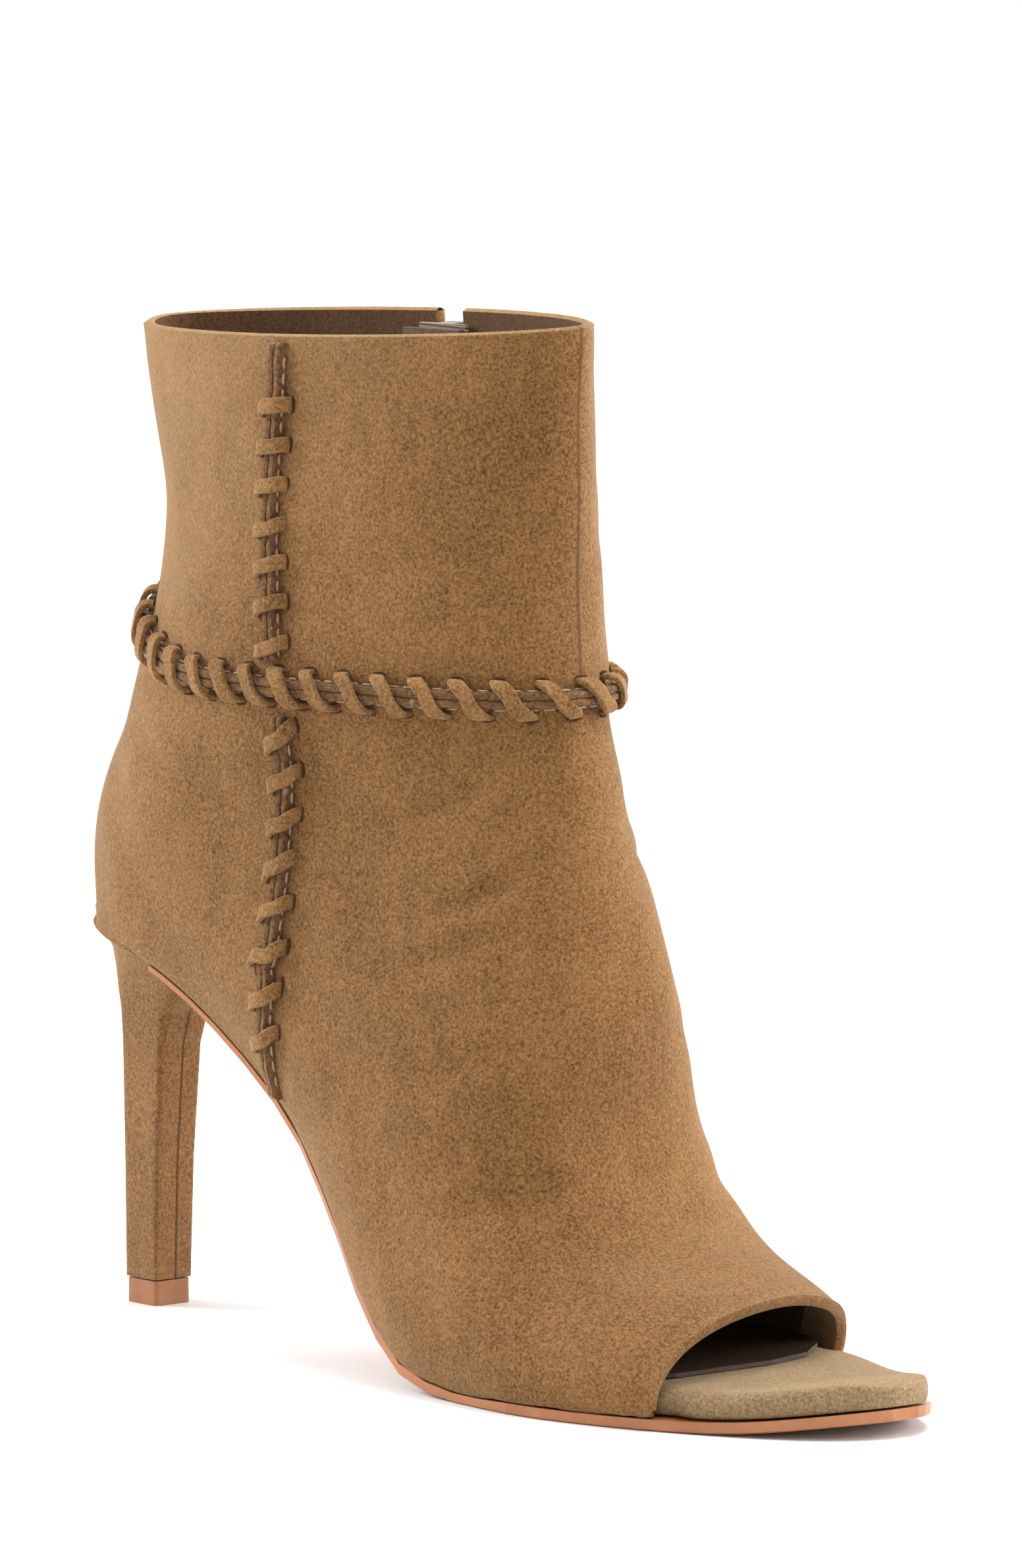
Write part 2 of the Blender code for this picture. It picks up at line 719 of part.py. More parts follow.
def seam_lips(name, seam, start, end, laced, finish):
    """Two panel edges turned out as one ridge, notched beneath where the lace passes."""
    half, top = LIP_WIDTH / 2, LIP_HEIGHT
    base = LIP_FOOT
    lifted = LACE_THICK + 3 * GAP
    groove = LIP_HEIGHT * 0.12
    levels = [(start, base)]
    starts, pitch = stitch_starts(laced)
    room = (UNDER_WIDTH + (1 - laced.slant) * pitch * LIP_WIDTH / (2 * LACE_REACH)) / 2 + 2 * GAP
    small = GAP
    for begin in starts[:-1]:
        middle = begin + pitch * (1 + laced.slant) / 2
        for at, level in ((-room - small, base), (-room, lifted), (room, lifted), (room + small, base)):
            levels.append((middle + at, level))
    levels.append((end, base))
    levels = [(at, level) for at, level in levels if start <= at <= end]
    rings = []
    for at, level in levels:
        shape = ((-half, level), (-half, top), (0, top - groove), (half, top), (half, level))
        rings.append([seam.point(at, across, high) for across, high in shape])
    return loft(name, rings, finish)


def lace_path(laced):
    """One lace wound round the ridge: slanted over it, then back beneath through the notches."""
    starts, pitch = stitch_starts(laced)
    low = GAP + LACE_THICK / 2
    crown = LIP_HEIGHT + GAP + LACE_THICK / 2
    reach = LACE_REACH
    side, shoulder = 0.45 * crown, 0.78 * crown
    over = (Turn(-1.0, side, 0.0, -90, LACE_WIDTH), Turn(-0.88, shoulder, 0.08, -50, LACE_WIDTH),
            Turn(-0.56, crown, 0.25, -12, LACE_WIDTH), Turn(0.56, crown, 0.75, 12, LACE_WIDTH),
            Turn(0.88, shoulder, 0.92, 50, LACE_WIDTH), Turn(1.0, side, 1.0, 90, LACE_WIDTH))
    under = (Turn(0.74, low, 0.13, 165, UNDER_WIDTH), Turn(-0.74, low, 0.87, 195, UNDER_WIDTH))
    path = []
    for k, begin in enumerate(starts):
        for turn in over:
            at = begin + turn.at * laced.slant * pitch
            path.append(turn._replace(across=turn.across * reach, at=at))
        if k < len(starts) - 1:
            for turn in under:
                at = begin + (laced.slant + turn.at * (1 - laced.slant)) * pitch
                path.append(turn._replace(across=turn.across * reach, at=at))
    return path


def seam_lace(name, seam, laced, finish):
    """The flat suede lace of one seam, as one strip."""
    path = lace_path(laced)
    centre = [seam.point(turn.at, turn.across, turn.high) for turn in path]
    small = LACE_THICK / 2
    rings = []
    for k, (point, turn) in enumerate(zip(centre, path)):
        before, after = centre[max(k - 1, 0)], centre[min(k + 1, len(centre) - 1)]
        along = (after - before).normalized()
        up = (seam.point(turn.at, turn.across, turn.high + small) - point).normalized()
        side = (seam.point(turn.at, turn.across + small, turn.high) - point).normalized()
        out = up * cos(radians(turn.lean)) + side * sin(radians(turn.lean))
        out = (out - along * out.dot(along)).normalized()
        wide = along.cross(out) * (turn.wide / 2)
        thick = out * (LACE_THICK / 2)
        rings.append([point - wide - thick, point + wide - thick, point + wide + thick, point - wide + thick])
    return loft(name, rings, finish, angle=50)


def raised_seams(lip_finish, lace_finish):
    """The lateral side seam above and below the ankle, and the seam round the ankle."""
    room = LACE_REACH + LACE_THICK + 3 * GAP
    side = Seam(side_line(SIDE_SEAM_FOOT, 2.0, "side", -1), True)
    ankle = Seam(ankle_line(), False)
    crossing = 0.0
    for at, (foot, turn) in zip(side.at, side.places):
        if foot <= ankle_foot(turn):
            crossing = at
    below, above = crossing - room, crossing + room
    top = side.length - GAP * 2
    lower_laced = Laced(SEAM_END_BARE, below - LACE_WIDTH * 0.6, LOWER_SLANT)
    upper_laced = Laced(above + LACE_WIDTH * 0.6, side.length - COLLAR_BARE, UPPER_SLANT)
    ankle_laced = Laced(LACE_WIDTH * 0.6, ankle.length - LACE_WIDTH * 0.6, ANKLE_SLANT)
    seam_lips("side_seam_lower", side, WALL, below, lower_laced, lip_finish)
    seam_lips("side_seam_upper", side, above, top, upper_laced, lip_finish)
    seam_lips("ankle_seam", ankle, 0.0, ankle.length, ankle_laced, lip_finish)
    seam_lace("side_lace_lower", side, lower_laced, lace_finish)
    seam_lace("side_lace_upper", side, upper_laced, lace_finish)
    seam_lace("ankle_lace", ankle, ankle_laced, lace_finish)


def strip(name, seam, start, end, shape, count, finish):
    """A strip of one profile along a seam line."""
    rings = []
    for k in range(count + 1):
        at = start + (end - start) * k / count
        rings.append([seam.point(at, across, high) for across, high in shape])
    return loft(name, rings, finish)


def zip_fastener(tape_finish, metal_finish, guard_finish):
    """Zip tape with its closed chain, the leather guard behind it, the slider and the pull tab."""
    line = Seam(side_line(ZIP_BOTTOM, 2.0, "zip", 1), True)
    behind = -(WALL + 3.5 * GAP)
    tape, chain = TAPE_WIDTH / 2, CHAIN_WIDTH / 2
    face = -WALL * 0.35
    shape = ((-tape, behind - TAPE_THICK), (tape, behind - TAPE_THICK), (tape, behind), (chain, behind),
             (chain, face), (-chain, face), (-chain, behind), (-tape, behind))
    strip("zip_tape", line, 0.0, line.length - WALL, shape, 18, tape_finish)
    back = behind - TAPE_THICK - GAP
    low, high = -GUARD_WIDTH * 0.6, GUARD_WIDTH * 0.4
    shape = ((low, back - GUARD_THICK), (high, back - GUARD_THICK), (high, back), (low, back))
    strip("zip_guard", line, 0.0, line.length - WALL * 1.4, shape, 14, guard_finish)
    zip_slider(line, face, metal_finish)


def frame_at(line, at):
    """Place and directions on the skin: forward, outward, up."""
    middle = line.point(at, 0.0, 0.0)
    up = (line.point(at + 0.002, 0.0, 0.0) - line.point(at - 0.002, 0.0, 0.0)).normalized()
    forward = (line.point(at, 0.002, 0.0) - line.point(at, -0.002, 0.0)).normalized()
    out = (line.point(at, 0.0, 0.002) - middle).normalized()
    forward = up.cross(out) * (1 if up.cross(out).dot(forward) > 0 else -1)
    return middle, forward, out, up


def slab(name, corner, axes, outline, thick, finish):
    """A plate from an outline in two axes, pushed out along the third."""
    across, out, up = axes
    near = [corner + across * a + up * b for a, b in outline]
    far = [point + out * thick for point in near]
    return loft(name, [near, far], finish)


def zip_slider(line, face, finish):
    """Slider at the top of the chain, with ears for the pull tab, and the tab hanging outside."""
    at = line.length - SLIDER_LENGTH * 0.5 - WALL
    middle, forward, out, up = frame_at(line, at)
    half, long = SLIDER_WIDTH / 2, SLIDER_LENGTH / 2
    outline = [(-half, long * 0.55), (-half * 0.6, long), (half * 0.6, long), (half, long * 0.55),
               (half * 0.62, -long), (-half * 0.62, -long)]
    start = middle + out * (face + GAP)
    body = slab("zip_slider", start, (forward, out, up), outline, SLIDER_THICK, finish)
    ear = PIN_RADIUS * 2.4
    pin_up = long * 0.25
    axis_high = face + GAP + SLIDER_THICK + GAP * 2 + PIN_RADIUS + PULL_THICK * 0.5
    inner, outer = PULL_WIDTH * 0.25 + GAP, PULL_WIDTH * 0.25 + GAP + ear * 0.5
    for side in (-1, 1):
        low, high = sorted((side * inner, side * outer))
        shape = [(low, pin_up - ear), (high, pin_up - ear), (high, pin_up + ear), (low, pin_up + ear)]
        root = face + GAP + SLIDER_THICK * 0.5
        tall = axis_high - root + PIN_RADIUS * 1.5
        lug = slab("slider_ear_guide", middle + out * root, (forward, out, up), shape, tall, finish)
        joined = body.modifiers.new("Ear", "BOOLEAN")
        joined.operation = "UNION"
        joined.object = guide(lug)
    hinge = middle + out * axis_high + up * pin_up
    pull_tab(hinge, forward, out, up, finish)


def pull_tab(hinge, forward, out, up, finish):
    """Pull tab hung on the slider's pin line, with its origin on the hinge."""
    neck, half = PULL_WIDTH * 0.25 - GAP * 0.5, PULL_WIDTH / 2
    drop = PULL_WIDTH * 0.9
    outline = [(-neck, PIN_RADIUS * 1.4), (neck, PIN_RADIUS * 1.4), (neck, -drop * 0.7), (half, -drop),
               (half, -PULL_LENGTH + half), (half * 0.5, -PULL_LENGTH), (-half * 0.5, -PULL_LENGTH),
               (-half, -PULL_LENGTH + half), (-half, -drop), (-neck, -drop * 0.7)]
    turned = Matrix((forward, out, up)).transposed().to_4x4()
    axes = (Vector((1, 0, 0)), Vector((0, 1, 0)), Vector((0, 0, 1)))
    body = slab("zip_pull", Vector((0, -PULL_THICK / 2, 0)), axes, outline, PULL_THICK, finish)
    body.matrix_world = Matrix.Translation(hinge) @ turned


def main():
    for old in list(bpy.data.objects):
        bpy.data.objects.remove(old, do_unlink=True)
    suede = material("suede", (0.33, 0.18, 0.08), 0.95)
    lip = material("suede_edge", (0.25, 0.114, 0.043), 0.95)
    lace = material("lace_suede", (0.30, 0.15, 0.06), 0.95)
    pale = material("pale_suede", (0.58, 0.41, 0.25), 0.95)
    leather = material("dark_leather", (0.06, 0.035, 0.022), 0.5)
    tan = material("sole_leather", (0.51, 0.23, 0.10), 0.45)
    rubber = material("amber_rubber", (0.37, 0.17, 0.08), 0.4)
    tape = material("zip_tape", (0.20, 0.12, 0.07), 0.9)
    metal = material("zip_metal", (0.75, 0.74, 0.72), 0.25, 1.0)
    upper(suede)
    outsole(tan)
    insole(pale)
    sock_lining(leather)
    heel(suede)
    top_lift(rubber)
    raised_seams(lip, lace)
    zip_fastener(tape, metal, leather)


main()
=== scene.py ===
# %% [markdown]
# A peep toe ankle boot in suede. It was drawn once as a solid model, from tables of sections of the last.
# This lesson repeats those tables, so that a much finer skin, the laces and the stitches all lie exactly
# where the solid model has them. The solid model is loaded first, as the frame that every finer piece
# rides on.

# %% Load the solid model as the frame
import random
from collections import namedtuple
from math import acos, copysign, cos, pi, radians, sin, sqrt

import bpy
import numpy as np
from mathutils import Matrix, Vector


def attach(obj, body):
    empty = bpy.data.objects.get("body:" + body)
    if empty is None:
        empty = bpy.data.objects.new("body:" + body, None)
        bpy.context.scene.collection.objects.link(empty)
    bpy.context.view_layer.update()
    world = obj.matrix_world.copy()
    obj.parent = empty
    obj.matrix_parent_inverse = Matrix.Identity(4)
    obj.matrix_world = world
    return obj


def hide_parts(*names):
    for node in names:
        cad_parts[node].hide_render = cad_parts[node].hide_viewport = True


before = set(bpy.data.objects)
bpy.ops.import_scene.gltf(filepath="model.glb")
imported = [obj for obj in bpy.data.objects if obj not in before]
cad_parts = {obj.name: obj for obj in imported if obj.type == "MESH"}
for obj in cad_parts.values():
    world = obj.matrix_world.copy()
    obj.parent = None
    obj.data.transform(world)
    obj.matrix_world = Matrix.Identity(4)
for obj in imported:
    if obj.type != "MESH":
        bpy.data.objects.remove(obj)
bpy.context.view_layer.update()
chance = random.Random(7)
print("nodes", sorted(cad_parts))

# %% [markdown]
# A photograph is matched by a camera in the same place. The boot was photographed from well in front of
# its lateral side, a little above the ankle and from far away, so the camera has a long lens. Depth of
# field stays off, because the picture is sharp all over.

# %% Camera
PHOTO_HEIGHT = 2380
FOCAL_PIXELS = 21060
SENSOR = 36.0
AIM = Vector((0.08967, 0.01274, 0.10764))
DISTANCE = 2.6
AZIMUTH, ELEVATION = 49.5, 6.9
FAR_END = 20
azimuth, elevation = radians(AZIMUTH), radians(ELEVATION)
away = Vector((sin(azimuth) * cos(elevation), -cos(azimuth) * cos(elevation), sin(elevation)))
camera = bpy.data.objects.new("camera", bpy.data.cameras.new("camera"))
bpy.context.scene.collection.objects.link(camera)
camera.location = AIM + away * DISTANCE
camera.rotation_euler = away.to_track_quat("Z", "Y").to_euler()
camera.data.sensor_width = SENSOR
camera.data.lens = FOCAL_PIXELS * SENSOR / PHOTO_HEIGHT
camera.data.clip_end = FAR_END
bpy.context.scene.camera = camera
print("lens", round(camera.data.lens, 1), "mm")

# %% [markdown]
# The boot stands in a white room, which lights it evenly from all sides. Two large soft lamps, one on each
# side and a little behind, graze the nap and brighten the boot's flanks, and a lamp overhead lights the
# toe. The floor is a white sheet with a soft contact shadow, and painted light in its colour makes it darker
# near the boot and lighter far away. Colours are shown as they are, with no film curve.

# %% Light and floor
LAMP_SIZE = 0.8
ROOM_LIGHT = 1.12
FLOOR_HALF = 30.0


def area_lamp(name, place, power):
    lamp = bpy.data.lights.new(name, "AREA")
    lamp.shape = "DISK"
    lamp.size = LAMP_SIZE
    lamp.energy = power
    holder = bpy.data.objects.new(name, lamp)
    holder.location = place
    holder.rotation_euler = (Vector(place) - AIM).to_track_quat("Z", "Y").to_euler()
    bpy.context.scene.collection.objects.link(holder)


area_lamp("left_lamp", (-1.10, -0.62, 0.70), 24.0)
area_lamp("right_lamp", (0.85, 1.15, 0.50), 20.0)
area_lamp("top_lamp", (0.45, 0.15, 1.35), 15.0)
world = bpy.data.worlds.new("studio")
world.use_nodes = True
world.node_tree.nodes["Background"].inputs["Color"].default_value = (1.0, 1.0, 1.0, 1)
world.node_tree.nodes["Background"].inputs["Strength"].default_value = ROOM_LIGHT
bpy.context.scene.world = world
bpy.context.scene.view_settings.view_transform = "Standard"

floor_mesh = bpy.data.meshes.new("floor")
floor_corners = [(x * FLOOR_HALF, y * FLOOR_HALF, 0) for x, y in ((-1, -1), (1, -1), (1, 1), (-1, 1))]
floor_mesh.from_pydata(floor_corners, [], [(0, 1, 2, 3)])
floor = bpy.data.objects.new("floor", floor_mesh)
bpy.context.scene.collection.objects.link(floor)
print("floor", 2 * FLOOR_HALF, "m wide, room light", ROOM_LIGHT)

# %% [markdown]
# A finish is a small sum over patterns: a colour that drifts, a grain that roughens. Wrapping a socket in
# a class that knows plus, minus and times lets that sum be written as one, and each sign adds its Math
# node.

# %% Shader maths
class Wire:
    """One value in a node tree. Plus, minus and times add Math nodes."""

    def __init__(self, tree, socket):
        self.tree = tree
        self.socket = socket

    def maths(self, operation, first, second):
        made = self.tree.nodes.new("ShaderNodeMath")
        made.operation = operation
        for place, value in enumerate((first, second)):
            if isinstance(value, Wire):
                self.tree.links.new(value.socket, made.inputs[place])
            else:
                made.inputs[place].default_value = value
        return Wire(self.tree, made.outputs[0])

    def __add__(self, other):
        return self.maths("ADD", self, other)

    def __sub__(self, other):
        return self.maths("SUBTRACT", self, other)

    def __mul__(self, other):
        return self.maths("MULTIPLY", self, other)

    def __rsub__(self, other):
        return self.maths("SUBTRACT", other, self)

    __radd__ = __add__
    __rmul__ = __mul__


class Finish:
    """A material whose nodes are made by one method and joined by expressions."""

    def __init__(self, name, roughness, **sockets):
        self.material = bpy.data.materials.new(name)
        self.material.use_nodes = True
        self.tree = self.material.node_tree
        self.shader = self.tree.nodes["Principled BSDF"]
        self.shader.inputs["Roughness"].default_value = roughness
        for name, value in sockets.items():
            self.shader.inputs[name.replace("_", " ")].default_value = value
        self.place = self.node("TexCoord", output="Object")

    def node(self, kind, settings=None, sockets=None, output=0):
        made = self.tree.nodes.new("ShaderNode" + kind)
        for name, value in (settings or {}).items():
            setattr(made, name, value)
        for name, value in (sockets or {}).items():
            if isinstance(value, Wire):
                self.tree.links.new(value.socket, made.inputs[name])
            else:
                made.inputs[name].default_value = value
        return Wire(self.tree, made.outputs[output])

    def noise(self, scale, detail=3.0, rough=0.55, at=None):
        return self.node("TexNoise", None, {"Vector": at or self.place, "Scale": scale, "Detail": detail,
                                            "Roughness": rough})

    def clamp(self, value):
        return self.node("Clamp", None, {"Value": value})

    def band(self, value, low, high):
        """0 below low, 1 above high, and a soft step between."""
        return self.node("MapRange", {"interpolation_type": "SMOOTHSTEP"},
                         {"Value": value, "From Min": low, "From Max": high})

    def mix(self, factor, first, second):
        return self.node("Mix", {"data_type": "RGBA"},
                         {0: factor, 6: first if isinstance(first, Wire) else (*first, 1),
                          7: second if isinstance(second, Wire) else (*second, 1)}, 2)

    def split(self):
        """The three coordinates of the place, in metres."""
        made = self.tree.nodes.new("ShaderNodeSeparateXYZ")
        self.tree.links.new(self.place.socket, made.inputs[0])
        return [Wire(self.tree, out) for out in made.outputs]

    def feed(self, name, value):
        self.tree.links.new(value.socket, self.shader.inputs[name])

    def bump(self, height, distance, strength=1.0):
        self.feed("Normal", self.node("Bump", None, {"Height": height, "Distance": distance,
                                                      "Strength": strength}))


print("sums are written with", Wire.__name__, "and finishes with", Finish.__name__)

# %% [markdown]
# Suede is leather brushed on its flesh side. Light catches the tips of the nap, so the finish has a sheen
# and no gloss. Three sizes of noise are added: wide clouds where the nap lies differently, short streaks
# from brushing, and the fine grain itself, which also drives the bump.

# %% Suede finish
CLOUD_SCALE, STREAK_SCALE, NAP_SCALE = 26.0, 190.0, 1700.0
STREAK_STRETCH = (1.0, 1.0, 0.45)
SHEEN_TINT = (1.0, 0.82, 0.56, 1)


def suede(name, dark, light, sheen=0.22, clouds=0.5, streaks=0.4, grain=2.5, depth=0.00035):
    made = Finish(name, 0.92, Sheen_Weight=sheen, Sheen_Roughness=0.45, Specular_IOR_Level=0.12)
    made.shader.inputs["Sheen Tint"].default_value = SHEEN_TINT
    wide = made.noise(CLOUD_SCALE, 2.0)
    stretched = made.node("Mapping", None, {"Vector": made.place, "Scale": STREAK_STRETCH})
    brushed = made.noise(STREAK_SCALE, 4.0, 0.6, stretched)
    fine = made.noise(NAP_SCALE, 3.0, 0.75)
    tone = made.clamp(0.5 + (wide - 0.5) * clouds + (brushed - 0.5) * streaks + (fine - 0.5) * grain)
    made.colour = made.mix(tone, dark, light)
    made.feed("Base Color", made.colour)
    made.bump(brushed * 0.5 + fine, depth, 0.6)
    return made


upper_suede = suede("upper_suede", (0.058, 0.022, 0.0055), (0.280, 0.142, 0.050))
print("suede of", len(upper_suede.tree.nodes), "nodes")

# %% [markdown]
# A boot is made on a last, the form of a foot. Its length, ball width, instep and seat height drive every
# other shape, and the leather's wall and the sole's thickness are real sizes of their own, all in metres.

# %% Sizes of the last and the leather
LENGTH = 0.218
BALL_WIDTH = 0.072
INSTEP_HEIGHT = 0.114
SEAT_HEIGHT = 0.0765
SHAFT_RISE = 0.1138
SEAT_OVERHANG = 0.007
# The collar is higher at the front than at the back, and higher on its inner side than on its outer side
COLLAR_TILT = 0.0060
COLLAR_CANT = 0.0040
# The sole's outline is rounded over these lengths, and the clearance is kept between neighbouring solids
SEAT_ROUND = 0.030
TOE_ROUND = 0.060
WALL = 0.0022
GAP = 0.0003
SOLE_THICK = 0.0023

SEAT_BACK = -SEAT_OVERHANG
TREAD = SOLE_THICK + GAP
COLLAR_HEIGHT = SEAT_HEIGHT + SHAFT_RISE
print("collar", round(COLLAR_HEIGHT, 4), "m above the floor at the back")

# %% [markdown]
# The shape is kept in short tables, with a row wherever it changes its course. A smooth curve through each
# column gives the value between the rows, so a few rows are enough and the surface has no steps.

# %% Smooth curves through the tables
def smooth(rows, key, column):
    """A smooth curve through one column of a table, read at any place along its key column."""
    at = [getattr(row, key) for row in rows]
    value = [getattr(row, column) for row in rows]
    step = [b - a for a, b in zip(at, at[1:])]
    rise = [(b - a) / h for a, b, h in zip(value, value[1:], step)]
    slope = [rise[0]]
    for k in range(1, len(step)):
        slope.append((rise[k - 1] * step[k] + rise[k] * step[k - 1]) / (step[k - 1] + step[k]))
    slope.append(rise[-1])

    def read(place):
        k = 0
        while k < len(step) - 1 and place > at[k + 1]:
            k += 1
        u = (place - at[k]) / step[k]
        u2, u3 = u * u, u * u * u
        return ((2 * u3 - 3 * u2 + 1) * value[k] + (u3 - 2 * u2 + u) * step[k] * slope[k]
                + (3 * u2 - 2 * u3) * value[k + 1] + (u3 - u2) * step[k] * slope[k + 1])

    return read


Step = namedtuple("Step", "place height")
stairs = smooth((Step(0.0, 0.0), Step(1.0, 1.0), Step(2.0, 1.0)), "place", "height")
print("past the last rise a curve runs over by", round(stairs(1.5) - 1, 3))

# %% [markdown]
# Upper, insole and seat fold all follow the sole's outline and its climb from the ball to the seat, so it
# comes first. The outline could be traced as one curve, but a half width and a swing are easier to read
# and change.

# %% The sole's outline
# Sole: place along the length, rise from tread to seat, half width and swing as shares of the ball width
Sole = namedtuple("Sole", "along rise half swing")
SOLE = (
    Sole(0.00, 1.000, 0.330, 0.000),
    Sole(0.08, 0.973, 0.335, 0.000),
    Sole(0.16, 0.917, 0.335, 0.000),
    Sole(0.24, 0.792, 0.318, 0.000),
    Sole(0.33, 0.573, 0.290, 0.000),
    Sole(0.41, 0.352, 0.345, 0.000),
    Sole(0.48, 0.164, 0.415, 0.000),
    Sole(0.54, 0.038, 0.460, 0.010),
    Sole(0.60, 0.000, 0.485, 0.020),
    Sole(0.70, 0.000, 0.500, 0.020),
    Sole(0.80, 0.000, 0.450, 0.020),
    Sole(0.90, 0.007, 0.395, 0.020),
    Sole(1.00, 0.047, 0.380, 0.050),
)

SOLE_CURVES = {name: smooth(SOLE, "along", name) for name in Sole._fields[1:]}


def sole_x(share):
    return SEAT_BACK + share * LENGTH


def sole_share(x):
    return min(max((x - SEAT_BACK) / LENGTH, 0.0), 1.0)


def feather_height(share):
    """Height of the line where the upper meets the sole."""
    return TREAD + SOLE_CURVES["rise"](share) * (SEAT_HEIGHT - TREAD)


def sole_middle(share):
    return SOLE_CURVES["swing"](share) * BALL_WIDTH


def sole_half(share, inset=0.0):
    """Half width of the sole, rounded off at the seat and at the toe, or of an outline inside it."""
    half = SOLE_CURVES["half"](share) * BALL_WIDTH - inset
    for reach, radius in ((share * LENGTH, SEAT_ROUND), ((1 - share) * LENGTH, TOE_ROUND)):
        if reach < radius:
            half *= sqrt(max(1 - ((radius - reach) / (radius - inset)) ** 2, 0.0))
    return half


print("sole", round(2000 * sole_half(0.7), 1), "mm wide at the ball")

# %% [markdown]
# The upper's sections fan out from the sole at the toe, turn round the instep and stand level in the
# shaft, as a knitted sock does. That keeps the net of faces even, where flat slices would crowd at the
# instep.

# %% Sections of the upper
# Back of the upper: height share of the shaft's rise, and how far forward as a share of the length
Back = namedtuple("Back", "rise forward")
BACK = (
    Back(0.00, 0.000),
    Back(0.08, 0.000),
    Back(0.17, 0.006),
    Back(0.26, 0.024),
    Back(0.35, 0.047),
    Back(0.48, 0.069),
    Back(0.60, 0.084),
    Back(0.70, 0.085),
    Back(0.83, 0.067),
    Back(1.00, 0.043),
)

# Sections of the foot below the seat: foot 0 is the toe, 1 the seat's back. The ridge's place is a share
# of the length, its height a share of the instep height, and the half widths are shares of the ball width.
Section = namedtuple("Section", "foot forward height outer inner widest peak ridge")
FOOT_SECTIONS = (
    Section(0.16, 0.839, 0.180, 0.390, 0.415, 0.08, 2.05, 0.04),
    Section(0.24, 0.774, 0.225, 0.465, 0.500, 0.10, 2.05, 0.04),
    Section(0.32, 0.716, 0.275, 0.500, 0.526, 0.15, 2.05, 0.04),
    Section(0.41, 0.681, 0.366, 0.505, 0.515, 0.20, 2.10, 0.03),
    Section(0.52, 0.674, 0.491, 0.475, 0.448, 0.26, 2.10, 0.03),
    Section(0.59, 0.672, 0.632, 0.445, 0.420, 0.28, 2.10, 0.02),
    Section(0.67, 0.656, 0.763, 0.420, 0.410, 0.30, 2.10, 0.01),
    Section(0.80, 0.636, 0.904, 0.400, 0.400, 0.30, 2.00, 0.00),
    Section(1.00, 0.627, 1.000, 0.392, 0.392, 0.32, 2.00, 0.00),
)

# Sections of the shaft: foot 1 is the seat's back and 2 the collar. Heights are shares from the instep
# height to the collar.
SHAFT_SECTIONS = (
    Section(1.15, 0.617, 0.070, 0.392, 0.392, 0.34, 2.05, 0.00),
    Section(1.30, 0.607, 0.132, 0.398, 0.398, 0.38, 2.05, 0.00),
    Section(1.48, 0.604, 0.184, 0.397, 0.397, 0.42, 2.05, 0.00),
    Section(1.65, 0.599, 0.454, 0.358, 0.358, 0.46, 1.95, 0.00),
    Section(1.82, 0.600, 0.724, 0.330, 0.330, 0.49, 1.85, 0.00),
    Section(2.00, 0.604, 1.000, 0.3125, 0.3125, 0.50, 1.75, 0.00),
)


def section_rows():
    """Both section tables with the ridge's height in metres at its place."""
    rows = [row._replace(height=row.height * INSTEP_HEIGHT) for row in FOOT_SECTIONS]
    top = COLLAR_HEIGHT + COLLAR_TILT
    for row in SHAFT_SECTIONS:
        rows.append(row._replace(height=INSTEP_HEIGHT + row.height * (top - INSTEP_HEIGHT)))
    return rows


BACK_FORWARD = smooth(BACK, "rise", "forward")
ROWS = section_rows()
SECTION_CURVES = {name: smooth(ROWS, "foot", name) for name in Section._fields[1:]}
print(len(ROWS), "sections from toe to collar")

# %% [markdown]
# Each section is a tall arch from the foot line over the ridge: a rounded peak above its widest place, and
# a curve that tucks in to the sole below it. Two numbers, foot and turn, then name any place on the skin.

# %% The skin
# The foot line's corner at the seat is rounded over this span of foot, except close to the feather line
CORNER_EASE = 0.16
CORNER_FREE = 0.40
CORNER_HOLD = 0.85
# A section's lower curve turns in by at least the angle with this cosine
LEAST_TUCK = 0.97


def foot_line(foot):
    """Middle of the foot of a section: along the sole, then up the back."""
    if foot <= 1:
        share = 1 - foot
        return Vector((sole_x(share), 0, feather_height(share)))
    rise = foot - 1
    return Vector((SEAT_BACK + BACK_FORWARD(rise) * LENGTH, 0, SEAT_HEIGHT + rise * SHAFT_RISE))


def eased_foot_line(foot):
    """The foot line with its corner at the seat rounded off, for the leather above the feather line."""
    u = (foot - 1 + CORNER_EASE) / (2 * CORNER_EASE)
    if not 0 < u < 1:
        return foot_line(foot)
    before, corner, after = foot_line(1 - CORNER_EASE), foot_line(1), foot_line(1 + CORNER_EASE)
    return before * (1 - u) ** 2 + corner * (2 * u * (1 - u)) + after * u ** 2


